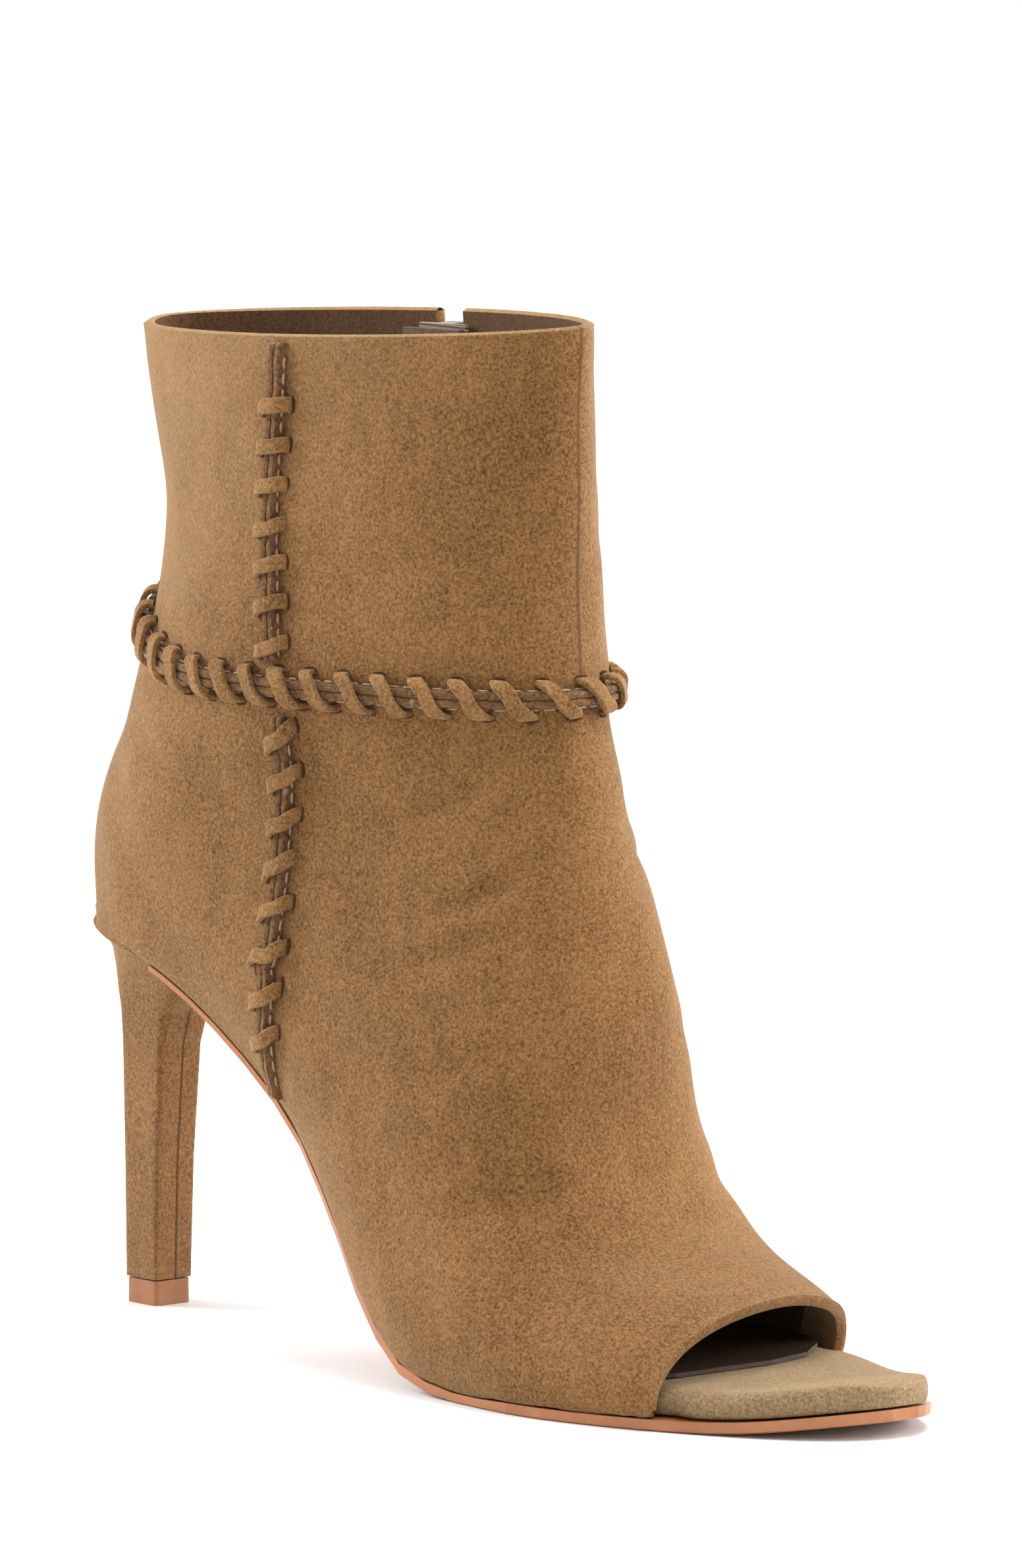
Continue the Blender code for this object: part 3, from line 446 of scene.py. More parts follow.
def skin(foot, turn):
    """Outside of the upper. turn runs -1 to 1: 0 is the ridge, +-0.5 the widest, +-1 the foot or back."""
    row = {name: curve(foot) for name, curve in SECTION_CURVES.items()}
    grip = min(max((abs(turn) - CORNER_FREE) / (CORNER_HOLD - CORNER_FREE), 0), 1)
    grip = grip * grip * (3 - 2 * grip)
    low = eased_foot_line(foot).lerp(foot_line(foot), grip)
    top = Vector((SEAT_BACK + row["forward"] * LENGTH, 0, row["height"]))
    height = (top - low).length
    up = (top - low) / height
    side = -1 if turn < 0 else 1
    wide = side * (row["outer"] if side < 0 else row["inner"]) * BALL_WIDTH
    middle, half = 0.0, 0.0
    if foot < 1:
        middle, half = sole_middle(1 - foot), sole_half(1 - foot)
    widest = row["widest"] * height
    around = abs(turn)
    if around <= 0.5:
        angle = (0.5 - around) * pi
        power = 2 / row["peak"]
        ridge = row["ridge"] * BALL_WIDTH
        rise = widest + (height - widest) * sin(angle) ** power
        across = ridge + (wide - ridge) * max(cos(angle), 0.0) ** power
    else:
        end = acos(min(half / abs(wide - middle), LEAST_TUCK))
        angle = end * (around - 0.5) * 2
        rise = widest * (1 - sin(angle) / sin(end))
        across = middle + (wide - middle) * cos(angle)
    cant = COLLAR_CANT * max(foot - 1, 0.0) ** 2 * across / BALL_WIDTH
    return Vector((low.x + up.x * rise, across, low.z + up.z * rise + cant))


def wrapped(turn):
    """The same place round a closed section, with turn back between -1 and 1."""
    return turn + 2 if turn < -1 else turn - 2 if turn > 1 else turn


print("collar's front at", [round(value, 4) for value in skin(2.0, 0.0)])

# %% [markdown]
# Seams and stitches need more than the place: how the skin runs there, which way is off it, and the turn
# at which it passes a wanted place. Small differences and halving steps give these for any shape of skin.

# %% Directions on the skin
SKIN_STEP = 0.006
BACK_TURN, FRONT_TURN = 0.985, 0.02
HALVINGS = 26


def skin_steps(foot, turn):
    """How the skin moves with foot and with turn, by central differences."""
    small = SKIN_STEP
    low, high = foot - small, foot + small
    if foot + small > 2:
        high = 2.0
    if (foot < 1 < high) or (low < 1 <= foot):
        low, high = (low, 1.0) if foot < 1 else (1.0, high)
        if low == high:
            high = 1.0 + small
    along = (skin(high, turn) - skin(low, turn)) / (high - low)
    left, right = turn - small, turn + small
    if foot >= 1:
        across = (skin(foot, wrapped(right)) - skin(foot, wrapped(left))) / (2 * small)
    else:
        left, right = max(left, -1), min(right, 1)
        across = (skin(foot, right) - skin(foot, left)) / (right - left)
    return along, across


def skin_normal(foot, turn):
    along, across = skin_steps(foot, turn)
    return across.cross(along).normalized()


def turn_at(foot, forward, side):
    """The turn on one side at which the skin passes a place forward of the seat's back."""
    x = SEAT_BACK + forward * LENGTH
    back, front = BACK_TURN, FRONT_TURN
    for _ in range(HALVINGS):
        middle = (back + front) / 2
        if skin(foot, side * middle).x < x:
            back = middle
        else:
            front = middle
    return side * (back + front) / 2


print("off the heel's back", [round(value, 2) for value in skin_normal(1.2, 1.0)])

# %% [markdown]
# The toe opening is cut back further on the inner side. The side seam climbs from the waist to the collar
# with the zip facing it on the inner side, and the ankle seam runs round from one side of the zip to the
# other. They could be cut by planes, but as lines on the skin they keep their place when a size changes.

# %% Opening, seams and zip as lines on the skin
# Toe opening: foot place of its edge, from the lateral side over the ridge to the medial side
Edge = namedtuple("Edge", "turn foot")
OPENING = (
    Edge(-1.0, 0.166),
    Edge(-0.6, 0.160),
    Edge(-0.3, 0.159),
    Edge(0.0, 0.169),
    Edge(0.2, 0.192),
    Edge(0.4, 0.238),
    Edge(0.6, 0.260),
    Edge(1.0, 0.262),
)

# Side seam and zip: place forward of the seat's back, as a share of the length, by foot place
Line = namedtuple("Line", "foot side zip")
SIDE_LINES = (
    Line(0.66, 0.340, 0.350),
    Line(0.72, 0.345, 0.345),
    Line(0.80, 0.355, 0.340),
    Line(1.00, 0.358, 0.338),
    Line(1.25, 0.360, 0.338),
    Line(1.48, 0.353, 0.332),
    Line(1.70, 0.334, 0.326),
    Line(2.00, 0.331, 0.321),
)
SIDE_SEAM_FOOT = 0.674

# Ankle seam: foot place by turn from the ridge, the same on both sides
Ankle = namedtuple("Ankle", "turn foot")
ANKLE = (
    Ankle(0.0, 1.462),
    Ankle(0.3, 1.459),
    Ankle(0.6, 1.458),
    Ankle(0.8, 1.512),
    Ankle(1.0, 1.552),
)

ZIP_GAP = 0.0080
ZIP_BOTTOM = 1.02
LINE_CURVES = {name: smooth(SIDE_LINES, "foot", name) for name in Line._fields[1:]}
opening_foot = smooth(OPENING, "turn", "foot")
ankle_edge = smooth(ANKLE, "turn", "foot")


def ankle_foot(turn):
    """Foot place of the ankle seam, which rises towards the back."""
    return ankle_edge(abs(turn))


print("opening's ridge at foot", opening_foot(0.0), "ankle seam's front at foot", ankle_foot(0.0))

# %% [markdown]
# Every piece below is a list of points and faces. One helper turns such lists into an object that rides on
# the boot, wears the finishes it is given, and hides the solids it stands for.

# %% One helper for every piece
def piece(name, points, faces, finishes, stands_for=(),
          which=None, body="boot", sharp=None):
    mesh = bpy.data.meshes.new(name)
    mesh.from_pydata([tuple(point) for point in points], [], faces)
    for finish in finishes:
        mesh.materials.append(finish.material)
    if which:
        mesh.polygons.foreach_set("material_index", which)
    mesh.shade_smooth()
    if sharp:
        mesh.set_sharp_from_angle(angle=radians(sharp))
    mesh.validate()
    made = bpy.data.objects.new(name, mesh)
    bpy.context.scene.collection.objects.link(made)
    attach(made, body)
    if stands_for:
        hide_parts(*stands_for)
    triangles = sum(len(face) - 2 for face in faces)
    print(name, len(points), "points", triangles, "triangles")
    return made


def tube_faces(rings, sides, first=0):
    """Faces of rings of points that follow each other, with both ends closed."""
    faces = []
    for r in range(rings - 1):
        for k in range(sides):
            n = (k + 1) % sides
            a, b = first + r * sides, first + (r + 1) * sides
            faces.append((a + k, a + n, b + n, b + k))
    faces.append(tuple(first + k for k in reversed(range(sides))))
    faces.append(tuple(first + (rings - 1) * sides + k for k in range(sides)))
    return faces


print("a tube of 2 rings of 6 points has", len(tube_faces(2, 6)), "faces")

# %% [markdown]
# The upper is one skin, cut along the zip. The net's columns are moved so that two of them run exactly
# along the slot's edges, and the faces between them are left out. The inside is the same net, one wall
# thickness in, and a rounded rim joins the two along every edge.

# %% Net of the upper
FOOT_NET = 96
SHAFT_NET = 100
ROUND_NET = 160
ROWS_NET = FOOT_NET + SHAFT_NET + 1
RIDGE_COLUMN = ROUND_NET // 2
ROW_CROWDING = 1.2
LEAST_SLOT_COLUMNS = 4
MIDDLE_OF_SHAFT = 1.5


def net_foot(row, turn):
    if row <= FOOT_NET:
        return 1 - (1 - opening_foot(turn)) * (1 - row / FOOT_NET) ** ROW_CROWDING
    return 1 + (row - FOOT_NET) / SHAFT_NET


def zip_edges(foot):
    """Turns of the slot's front and back edge."""
    place = max(foot, ZIP_BOTTOM)
    at = LINE_CURVES["zip"](place)
    half = ZIP_GAP / 2 / LENGTH
    return turn_at(place, at + half, 1), turn_at(place, at - half, 1)


front_edge, back_edge = zip_edges(MIDDLE_OF_SHAFT)
FRONT_COLUMN = round((front_edge + 1) / 2 * ROUND_NET)
BACK_COLUMN = max(round((back_edge + 1) / 2 * ROUND_NET), FRONT_COLUMN + LEAST_SLOT_COLUMNS)
SLOT_ROW = FOOT_NET + round((ZIP_BOTTOM - 1) * SHAFT_NET)
edges = {row: zip_edges(net_foot(row, 0.5)) for row in range(SLOT_ROW, ROWS_NET)}


def net_turn(row, column):
    if column <= RIDGE_COLUMN:
        return -1 + column / RIDGE_COLUMN
    front, back = edges[max(row, SLOT_ROW)]
    if column <= FRONT_COLUMN:
        return front * (column - RIDGE_COLUMN) / (FRONT_COLUMN - RIDGE_COLUMN)
    if column <= BACK_COLUMN:
        return front + (back - front) * (column - FRONT_COLUMN) / (BACK_COLUMN - FRONT_COLUMN)
    return back + (1 - back) * (column - BACK_COLUMN) / (ROUND_NET - BACK_COLUMN)


outer = np.zeros((ROWS_NET, ROUND_NET + 1, 3))
places = np.zeros((ROWS_NET, ROUND_NET + 1, 2))
for row in range(ROWS_NET):
    for column in range(ROUND_NET + 1):
        turn = net_turn(row, column)
        foot = net_foot(row, turn)
        outer[row, column] = skin(foot, turn)
        places[row, column] = foot, turn
by_row = np.gradient(outer, axis=0)
by_column = np.gradient(outer, axis=1)
for row in range(FOOT_NET, ROWS_NET):
    seam_step = outer[row, 1] - outer[row, -2]
    by_column[row, 0] = by_column[row, -1] = seam_step / 2
facing = np.cross(by_column, by_row)
facing /= np.linalg.norm(facing, axis=2, keepdims=True)
print("net", outer.shape, "slot between columns", FRONT_COLUMN, BACK_COLUMN)

# %% [markdown]
# Worn suede folds where the foot bends. Each fold is a soft trough with a low ridge beside it, given by
# the two ends of its line on the boot's side, its width and its depth. They are shallow, because the boot
# is stiffened. They could be painted as bump, but light from the side would then miss their shadows.

# %% Folds
FOLD_WAVER = 0.0012
# Shares of a fold's width and depth: how narrow its trough is, and where and how high its ridge stands
NARROW = 6
RIDGE_BESIDE, RIDGE_SHARE = 0.75, 0.45
# How quickly a fold fades from its line's middle to its ends, and the power that shapes the fading
FADING, FADE_POWER = 1.7, 0.7
Fold = namedtuple("Fold", "start end width depth")
FOLDS = (
    Fold((0.112, 0.089), (0.128, 0.098), 0.0050, 0.0009),
    Fold((0.100, 0.078), (0.127, 0.084), 0.0060, 0.0010),
    Fold((0.092, 0.103), (0.120, 0.112), 0.0055, 0.0008),
    Fold((0.030, 0.112), (0.058, 0.104), 0.0060, 0.0007),
    Fold((0.108, 0.060), (0.134, 0.064), 0.0070, 0.0008),
    Fold((0.124, 0.036), (0.150, 0.040), 0.0080, 0.0006),
    Fold((0.020, 0.128), (0.050, 0.122), 0.0060, 0.0007),
    Fold((0.085, 0.150), (0.120, 0.156), 0.0090, 0.0006),
)


def fold_depth(points):
    """How far the skin moves in at each point, seen from the side."""
    total = np.zeros(points.shape[:2])
    for fold in FOLDS:
        start, end = np.array(fold.start), np.array(fold.end)
        line = end - start
        length = np.linalg.norm(line)
        line = line / length
        x, z = points[..., 0] - start[0], points[..., 2] - start[1]
        along = (x * line[0] + z * line[1]) / length
        off = z * line[0] - x * line[1] + FOLD_WAVER * np.sin(along * 5)
        reach = np.clip(1 - np.abs(along - 0.5) * FADING, 0, 1) ** FADE_POWER
        u = off / fold.width
        trough = np.exp(-u * u * NARROW)
        total += fold.depth * reach * (trough - RIDGE_SHARE * np.exp(-(u - RIDGE_BESIDE) ** 2 * NARROW))
    return total


folded = fold_depth(outer)
print("deepest fold", round(float(folded.max()) * 1000, 2), "mm")

# %% [markdown]
# Besides its folds the skin is a little uneven, has a stitched crease along the toe opening and stays calm
# at the toe opening, the collar and the feather line. The inside follows the skin at the wall's thickness,
# and lies level where it meets the sole.

# %% Outside and inside of the wall
AT_FEATHER = 0.999
TOE_CREASE, TOE_FACING = 0.0022, 0.012
CREASE_DEPTH, CREASE_WIDTH = 0.00028, 0.0006
CALM_AT_OPENING, CALM_AT_COLLAR = 0.004, 0.05
# Waves of the uneven skin: how fast each runs along x, y and z, and its height
Wave = namedtuple("Wave", "x y z height")
WAVES = (
    Wave(91.0, 47.0, 63.0, 0.00016),
    Wave(143.0, -88.0, 117.0, 0.00010),
    Wave(-61.0, 131.0, 79.0, 0.00012),
)


def feather_normal(share, side):
    """Outward direction of the sole's outline, in plan."""
    small = 0.002
    back, front = max(share - small, 0.0), min(share + small, 1.0)
    dx = (front - back) * LENGTH
    dy = side * (sole_half(front) - sole_half(back)) + sole_middle(front) - sole_middle(back)
    return Vector((-side * dy, side * dx, 0)).normalized()


def inner_point(foot, turn, outer):
    """The wall's inside, level with the feather line along the sole."""
    if foot < 1 and abs(turn) > AT_FEATHER:
        side = copysign(1, turn)
        inside = outer - feather_normal(1 - foot, side) * WALL
        inside.z = feather_height(sole_share(inside.x))
        return inside
    if foot == 1 and abs(turn) > AT_FEATHER:
        inside = outer + Vector((WALL, 0, 0))
        inside.z = feather_height(sole_share(inside.x))
        return inside
    return outer - skin_normal(foot, turn) * WALL


pad = 0.0
for wave in WAVES:
    swing = outer[..., 0] * wave.x * 2 + outer[..., 1] * wave.y * 2 + outer[..., 2] * wave.z * 2
    pad = pad + wave.height * np.sin(swing)
foot_net, turn_net = places[..., 0], places[..., 1]
opening_net = np.array([[opening_foot(turn) for turn in line] for line in turn_net])
from_opening = (foot_net - opening_net) * LENGTH
crease = CREASE_DEPTH * np.exp(-((from_opening - TOE_CREASE) / CREASE_WIDTH) ** 2)
calm = np.clip(from_opening / CALM_AT_OPENING, 0, 1) * np.clip((2.0 - foot_net) / CALM_AT_COLLAR, 0, 1)
sink = folded * calm + crease + pad * calm
shell = outer - facing * sink[..., None]
on_feather = (np.abs(turn_net) > AT_FEATHER) & (foot_net < 1)
shell[on_feather] = outer[on_feather]
inner = outer - facing * WALL
for row in range(FOOT_NET + 1):
    for column in (0, ROUND_NET):
        foot, turn = places[row, column]
        inner[row, column] = inner_point(foot, turn, Vector(outer[row, column]))
print("skin sinks by at most", round(float(sink.max()) * 1000, 2), "mm")

# %% [markdown]
# Both nets become one list of points. Above the seat the first and last column are the same place, so they
# share their points there, and the faces inside the zip's slot are left out. A face on the inside takes
# the lining's finish, or the facing's close to the toe opening.

# %% Join the nets into one shell
points, number = [], {}
for row in range(ROWS_NET):
    for column in range(ROUND_NET + 1):
        if row >= FOOT_NET and column == ROUND_NET:
            number[row, column, 0], number[row, column, 1] = number[row, 0, 0], number[row, 0, 1]
            continue
        for face, net in enumerate((shell, inner)):
            number[row, column, face] = len(points)
            points.append(net[row, column])


def in_slot(row, column):
    return row >= SLOT_ROW and FRONT_COLUMN <= column < BACK_COLUMN


SUEDE_FACE, FACING_FACE = 0, 2
faces, which = [], []
for row in range(ROWS_NET - 1):
    for column in range(ROUND_NET):
        if in_slot(row, column):
            continue
        for face in (0, 1):
            quad = (number[row, column, face], number[row, column + 1, face],
                    number[row + 1, column + 1, face], number[row + 1, column, face])
            faces.append(quad[::-1] if face else quad)
            which.append(FACING_FACE if face and from_opening[row, column] < TOE_FACING else face)
print("shell", len(points), "points", len(faces), "faces")

# %% [markdown]
# A cut edge of suede is soft, so the wall's two faces are joined by a rim that bulges a little. It could
# be a bevel, but the net already knows its edges, and one function walks them all: toe opening, collar,
# both sides of the feather line, and the zip's slot.

# %% Rims of the wall
RIM_BULGE = 0.0005


def rim(edge, beyond):
    """A rounded edge between the outside and the inside, along places in the net, given their neighbours."""
    ring = []
    for place, back in zip(edge, beyond):
        a, b = np.array(points[number[(*place, 0)]]), np.array(points[number[(*place, 1)]])
        out = shell[place] - shell[back]
        out = out / max(np.linalg.norm(out), 1e-9)
        ring.append(len(points))
        points.append((a + b) / 2 + out * RIM_BULGE)
    for k in range(len(edge) - 1):
        a, b = edge[k], edge[k + 1]
        for quad in ((number[(*a, 0)], number[(*b, 0)], ring[k + 1], ring[k]),
                     (ring[k], ring[k + 1], number[(*b, 1)], number[(*a, 1)])):
            faces.append(quad)
            which.append(SUEDE_FACE)


def row_rim(row, beyond, columns):
    rim([(row, column) for column in columns], [(beyond, column) for column in columns])


def column_rim(column, beyond, rows):
    rim([(row, column) for row in rows], [(row, beyond) for row in rows])


last = ROWS_NET - 1
row_rim(0, 1, range(ROUND_NET, -1, -1))
row_rim(last, last - 1, range(FRONT_COLUMN + 1))
row_rim(last, last - 1, range(BACK_COLUMN, ROUND_NET + 1))
column_rim(0, 1, range(FOOT_NET + 1))
column_rim(ROUND_NET, ROUND_NET - 1, range(FOOT_NET, -1, -1))
column_rim(FRONT_COLUMN, FRONT_COLUMN - 1, range(last, SLOT_ROW - 1, -1))
column_rim(BACK_COLUMN, BACK_COLUMN + 1, range(SLOT_ROW, ROWS_NET))
row_rim(SLOT_ROW, SLOT_ROW - 1, range(FRONT_COLUMN, BACK_COLUMN + 1))
print("with rims", len(points), "points", len(faces), "faces")

# %% [markdown]
# The upper's suede is painted a little lighter high up and towards the back, as painted light where the
# shaft's back catches more light. A line down the front of the shaft is the seam of its two panels, drawn
# in the colour, because it lies flat. Lining and facing are plainer suede.

# %% Finish of the upper
PAINTED_LIGHT_LEAN, PAINTED_LIGHT_SHARE = 0.9, 0.22
PAINTED_LIGHT_FROM, PAINTED_LIGHT_TO = 0.075, 0.15
FRONT_SEAM_HALF, FRONT_SEAM_FADE = 0.0002, 0.0006
FRONT_SEAM_AHEAD, FRONT_SEAM_ABOVE = (0.098, 0.1), (0.1265, 0.1285)
place_x, place_y, place_z = upper_suede.split()
# Painted light: the suede is painted lighter high up and towards the back, where the shaft catches more
# light.
painted_back_light = upper_suede.band(place_z - place_x * PAINTED_LIGHT_LEAN, PAINTED_LIGHT_FROM, PAINTED_LIGHT_TO) * PAINTED_LIGHT_SHARE
with_painted_light = upper_suede.mix(painted_back_light, upper_suede.colour, (0.30, 0.185, 0.085))
off_middle = upper_suede.node("Math", {"operation": "ABSOLUTE"}, {0: place_y})
front_seam = 1 - upper_suede.band(off_middle, FRONT_SEAM_HALF, FRONT_SEAM_FADE)
front_seam = front_seam * upper_suede.band(place_x, *FRONT_SEAM_AHEAD)
front_seam = front_seam * upper_suede.band(place_z, *FRONT_SEAM_ABOVE)
upper_suede.feed("Base Color", upper_suede.mix(front_seam * 0.8, with_painted_light, (0.08, 0.035, 0.012)))
# Painted shade: the lining is dark suede, and its colours were set to the boot's inside as it looks in
# shade, so they also hold painted shade.
lining = suede("lining_suede_painted_shade", (0.050, 0.023, 0.010), (0.13, 0.066, 0.032), sheen=0.1)
facing_suede = suede("facing_suede", (0.15, 0.085, 0.040), (0.34, 0.215, 0.115))
wall_finishes = [upper_suede, lining, facing_suede]
piece("boot_upper", points, faces, wall_finishes, ["upper"], which, sharp=60)

# %% [markdown]
# A seam is a line drawn on the skin and walked by distance. At every step it knows a direction across it,
# in the skin, and one off the skin, so a ridge, a lace or a stitch can be placed with three plain lengths.

# %% Seam lines on the skin
LACE_WIDTH = 0.0030
LACE_THICK = 0.0008
LACE_REACH = 0.0035
SIDE_PLACES = 60
ANKLE_PLACES = 150


def skin_near(foot, turn, aim):
    """The place on the skin nearest a point, found by a few steps from a place close to it."""
    for _ in range(3):
        by_foot, by_turn = skin_steps(foot, turn)
        miss = aim - skin(foot, turn)
        a, b, c = by_foot.dot(by_foot), by_foot.dot(by_turn), by_turn.dot(by_turn)
        p, q = miss.dot(by_foot), miss.dot(by_turn)
        foot = min(foot + (c * p - b * q) / (a * c - b * b), 2.0)
        turn += (a * q - b * p) / (a * c - b * b)
        turn = wrapped(turn) if foot >= 1 else min(max(turn, -1), 1)
    return foot, turn


class Seam:
    """A line on the skin, walked by distance. across is to the front or up, high is off the skin."""

    def __init__(self, places, upright):
        self.places = places
        self.upright = upright
        points = [skin(*place) for place in places]
        self.at = [0.0]
        for a, b in zip(points, points[1:]):
            self.at.append(self.at[-1] + (b - a).length)
        self.length = self.at[-1]

    def place(self, distance):
        k = 0
        while k < len(self.at) - 2 and distance > self.at[k + 1]:
            k += 1
        u = (distance - self.at[k]) / (self.at[k + 1] - self.at[k])
        (foot_a, turn_a), (foot_b, turn_b) = self.places[k], self.places[k + 1]
        if abs(turn_b - turn_a) > 1:
            turn_b += copysign(2, turn_a - turn_b)
        return foot_a + (foot_b - foot_a) * u, wrapped(turn_a + (turn_b - turn_a) * u)

    def point(self, distance, across, high):
        foot, turn = self.place(distance)
        small = 0.001
        tangent = skin(*self.place(distance + small)) - skin(*self.place(distance - small))
        side = skin_normal(foot, turn).cross(tangent).normalized()
        if (side.x if self.upright else side.z) < 0:
            side = -side
        foot, turn = skin_near(foot, turn, skin(foot, turn) + side * across)
        return skin(foot, turn) + skin_normal(foot, turn) * high


def side_line(start, end, column, side, count=SIDE_PLACES):
    """Places along the side seam or the zip, from low to high."""
    places = []
    for k in range(count + 1):
        foot = start + (end - start) * k / count
        places.append((foot, turn_at(foot, LINE_CURVES[column](foot), side)))
    return places


def ankle_line(count=ANKLE_PLACES):
    """Places round the ankle, from the zip's front edge by the front and the back to its back edge."""
    foot = ankle_foot(0.5)
    clear = (ZIP_GAP / 2 + LACE_REACH * 0.5) / LENGTH
    front = turn_at(foot, LINE_CURVES["zip"](foot) + clear, 1)
    back = turn_at(foot, LINE_CURVES["zip"](foot) - clear, 1)
    places = []
    for k in range(count + 1):
        turn = wrapped(front - (2 - (back - front)) * k / count)
        places.append((ankle_foot(turn), turn))
    return places


side_seam = Seam(side_line(SIDE_SEAM_FOOT, 2.0, "side", -1), True)
round_seam = Seam(ankle_line(), False)
print("seams", round(side_seam.length, 4), round(round_seam.length, 4))

# %% [markdown]
# The raised seams are two panel edges stitched back to back, so each ridge has two cut edges and a groove.
# To place thousands of points quickly, the line on the skin is measured once, with the skin's height and
# direction at three places across it, and everything else is read between those measures.

# %% Measured seam lines
class Track:
    """A seam measured once: points off the skin are then read by distance, across and high."""

    REACH = 0.004
    STEP = 0.0008
    HIGH = 0.002
    FROM_END = 0.0011

    def __init__(self, seam):
        self.length = seam.length
        count = int(self.length / self.STEP)
        self.at = np.linspace(0, self.length, count + 1)
        base, up = [], []
        for at in self.at:
            at = min(max(at, self.FROM_END), self.length - self.FROM_END)
            low = [seam.point(at, across, 0.0) for across in (-self.REACH, 0.0, self.REACH)]
            tip = [seam.point(at, across, self.HIGH) for across in (-self.REACH, 0.0, self.REACH)]
            base.append([tuple(point) for point in low])
            up.append([tuple((b - a).normalized()) for a, b in zip(low, tip)])
        self.base, self.up = np.array(base), np.array(up)

    def point(self, at, across, high):
        k = min(max(int(at / self.length * (len(self.at) - 1)), 0), len(self.at) - 2)
        u = (at - self.at[k]) / (self.at[k + 1] - self.at[k])
        base = self.base[k] * (1 - u) + self.base[k + 1] * u
        up = self.up[k] * (1 - u) + self.up[k + 1] * u
        t = across / self.REACH
        weights = np.array((t * (t - 1) / 2, 1 - t * t, t * (t + 1) / 2))
        normal = weights @ up
        return Vector(weights @ base + normal / np.linalg.norm(normal) * high)


side_track, ankle_track = Track(side_seam), Track(round_seam)
print("measured at", len(side_track.at), "and", len(ankle_track.at), "places")

# %% [markdown]
# Where the side seam meets the ankle seam it stops on both sides, with room for the laces. Below and above
# the crossing it is laced on its own, and each stretch has its own slant and evenly shared turns, as in
# the photo.

# %% Laced stretches
STITCH_PITCH = 0.0081
COLLAR_BARE = 0.0125
SEAM_END_BARE = 0.0120
UPPER_SLANT, LOWER_SLANT, ANKLE_SLANT = 0.20, 0.50, 0.72
END_ROOM = 0.6
# A laced stretch of a seam, and how far a turn of the lace leans along it, as a share of the pitch
Laced = namedtuple("Laced", "start end slant")


def stitch_starts(laced):
    """Evenly spaced starts of the lace's turns, so that the last one ends where the stretch does."""
    length = laced.end - laced.start
    count = max(round(length / STITCH_PITCH + 1 - laced.slant), 2)
    pitch = length / (count - 1 + laced.slant)
    return [laced.start + pitch * k for k in range(count)], pitch


room = LACE_REACH + LACE_THICK + 3 * GAP
crossing = 0.0
for at, (foot, turn) in zip(side_seam.at, side_seam.places):
    if foot <= ankle_foot(turn):
        crossing = at
below, above = crossing - room, crossing + room
lower_laced = Laced(SEAM_END_BARE, below - LACE_WIDTH * END_ROOM, LOWER_SLANT)
upper_laced = Laced(above + LACE_WIDTH * END_ROOM, side_seam.length - COLLAR_BARE, UPPER_SLANT)
ankle_laced = Laced(LACE_WIDTH * END_ROOM, round_seam.length - LACE_WIDTH * END_ROOM, ANKLE_SLANT)
print("the seams cross", round(crossing, 4), "m up the side seam")

# %% [markdown]
# A ridge is drawn as one outline, swept along its seam: two thin edges with rounded tops and a groove
# between them. It wavers by about a tenth of a millimetre and sinks at its ends, as two cut edges sewn by
# hand do.

# %% Ridges
LIP_WIDTH, LIP_HEIGHT = 0.0030, 0.0021
RIDGE_STEP = 0.0009
END_DROP, END_SLOPE = 0.35, 0.0012
# Sizes and paces of the waves in a ridge's height, as shares of it, and in its place, in metres
WAVER = ((0.05, 900), (0.03, 2300))
SWAY = ((0.00008, 700), (0.00005, 1900))
# One half of the outline, as shares of the half width and the height, from the groove outward
RIDGE_HALF = ((0.14, 0.93), (0.5, 1.0), (0.86, 0.97), (0.98, 0.82), (1.02, 0.3), (1.12, -0.15))
RIDGE_SHAPE = [(-across, high) for across, high in reversed(RIDGE_HALF)] + [(0.0, 0.66)] + list(RIDGE_HALF)
edge_suede = suede("edge_suede", (0.050, 0.021, 0.008), (0.21, 0.106, 0.044), streaks=1.0)
fleck = edge_suede.band(edge_suede.noise(420.0, 2.0), 0.66, 0.74) * 0.35
edge_suede.feed("Base Color", edge_suede.mix(fleck, edge_suede.colour, (0.40, 0.30, 0.22)))


def ridge(name, track, start, end, node):
    count = int((end - start) / RIDGE_STEP)
    rings = []
    for k in range(count + 1):
        at = start + (end - start) * k / count
        from_end = min(at - start, end - at)
        tall = LIP_HEIGHT * (1 - END_DROP * (1 - min(from_end / END_SLOPE, 1)) ** 2)
        tall *= 1 + sum(size * sin(at * pace) for size, pace in WAVER)
        sway = sum(size * sin(at * pace) for size, pace in SWAY)
        for across, high in RIDGE_SHAPE:
            rings.append(track.point(at, across * LIP_WIDTH / 2 + sway, high * tall))
    piece(name, rings, tube_faces(count + 1, len(RIDGE_SHAPE)), [edge_suede], [node], sharp=50)


ridge("ridge_side_lower", side_track, WALL, below, "side_seam_lower")
ridge("ridge_side_upper", side_track, above, side_seam.length - GAP * 2, "side_seam_upper")
ridge("ridge_ankle", ankle_track, 0.0, round_seam.length, "ankle_seam")

# %% [markdown]
# The lace is a flat strip of suede that winds round the ridge. Each turn is modelled as a strip with
# rounded edges that rises from a punched hole, crosses the ridge at a slant and dives into the next hole.
# Small differences from turn to turn, from a seeded draw, keep them from looking stamped. A bevelled curve
# would make a round cord, while rings of points keep the strip flat with its face along the skin.

# %% Lace turns
TURN_HALF_THICK = 0.00055
CROWN_ROOM = 0.0001
TURN_STEPS = 14
TURN_SQUARE = 0.62
TURN_REACH = 0.92
TURN_DEPTH = -0.0012
# Limits of the draws: how far a turn leans along the seam, its share of the full width, and its roll
LEAN_LIMIT = 0.0005
WIDTH_FROM, WIDTH_TO = 0.88, 1.04
ROLL_LIMIT = 9
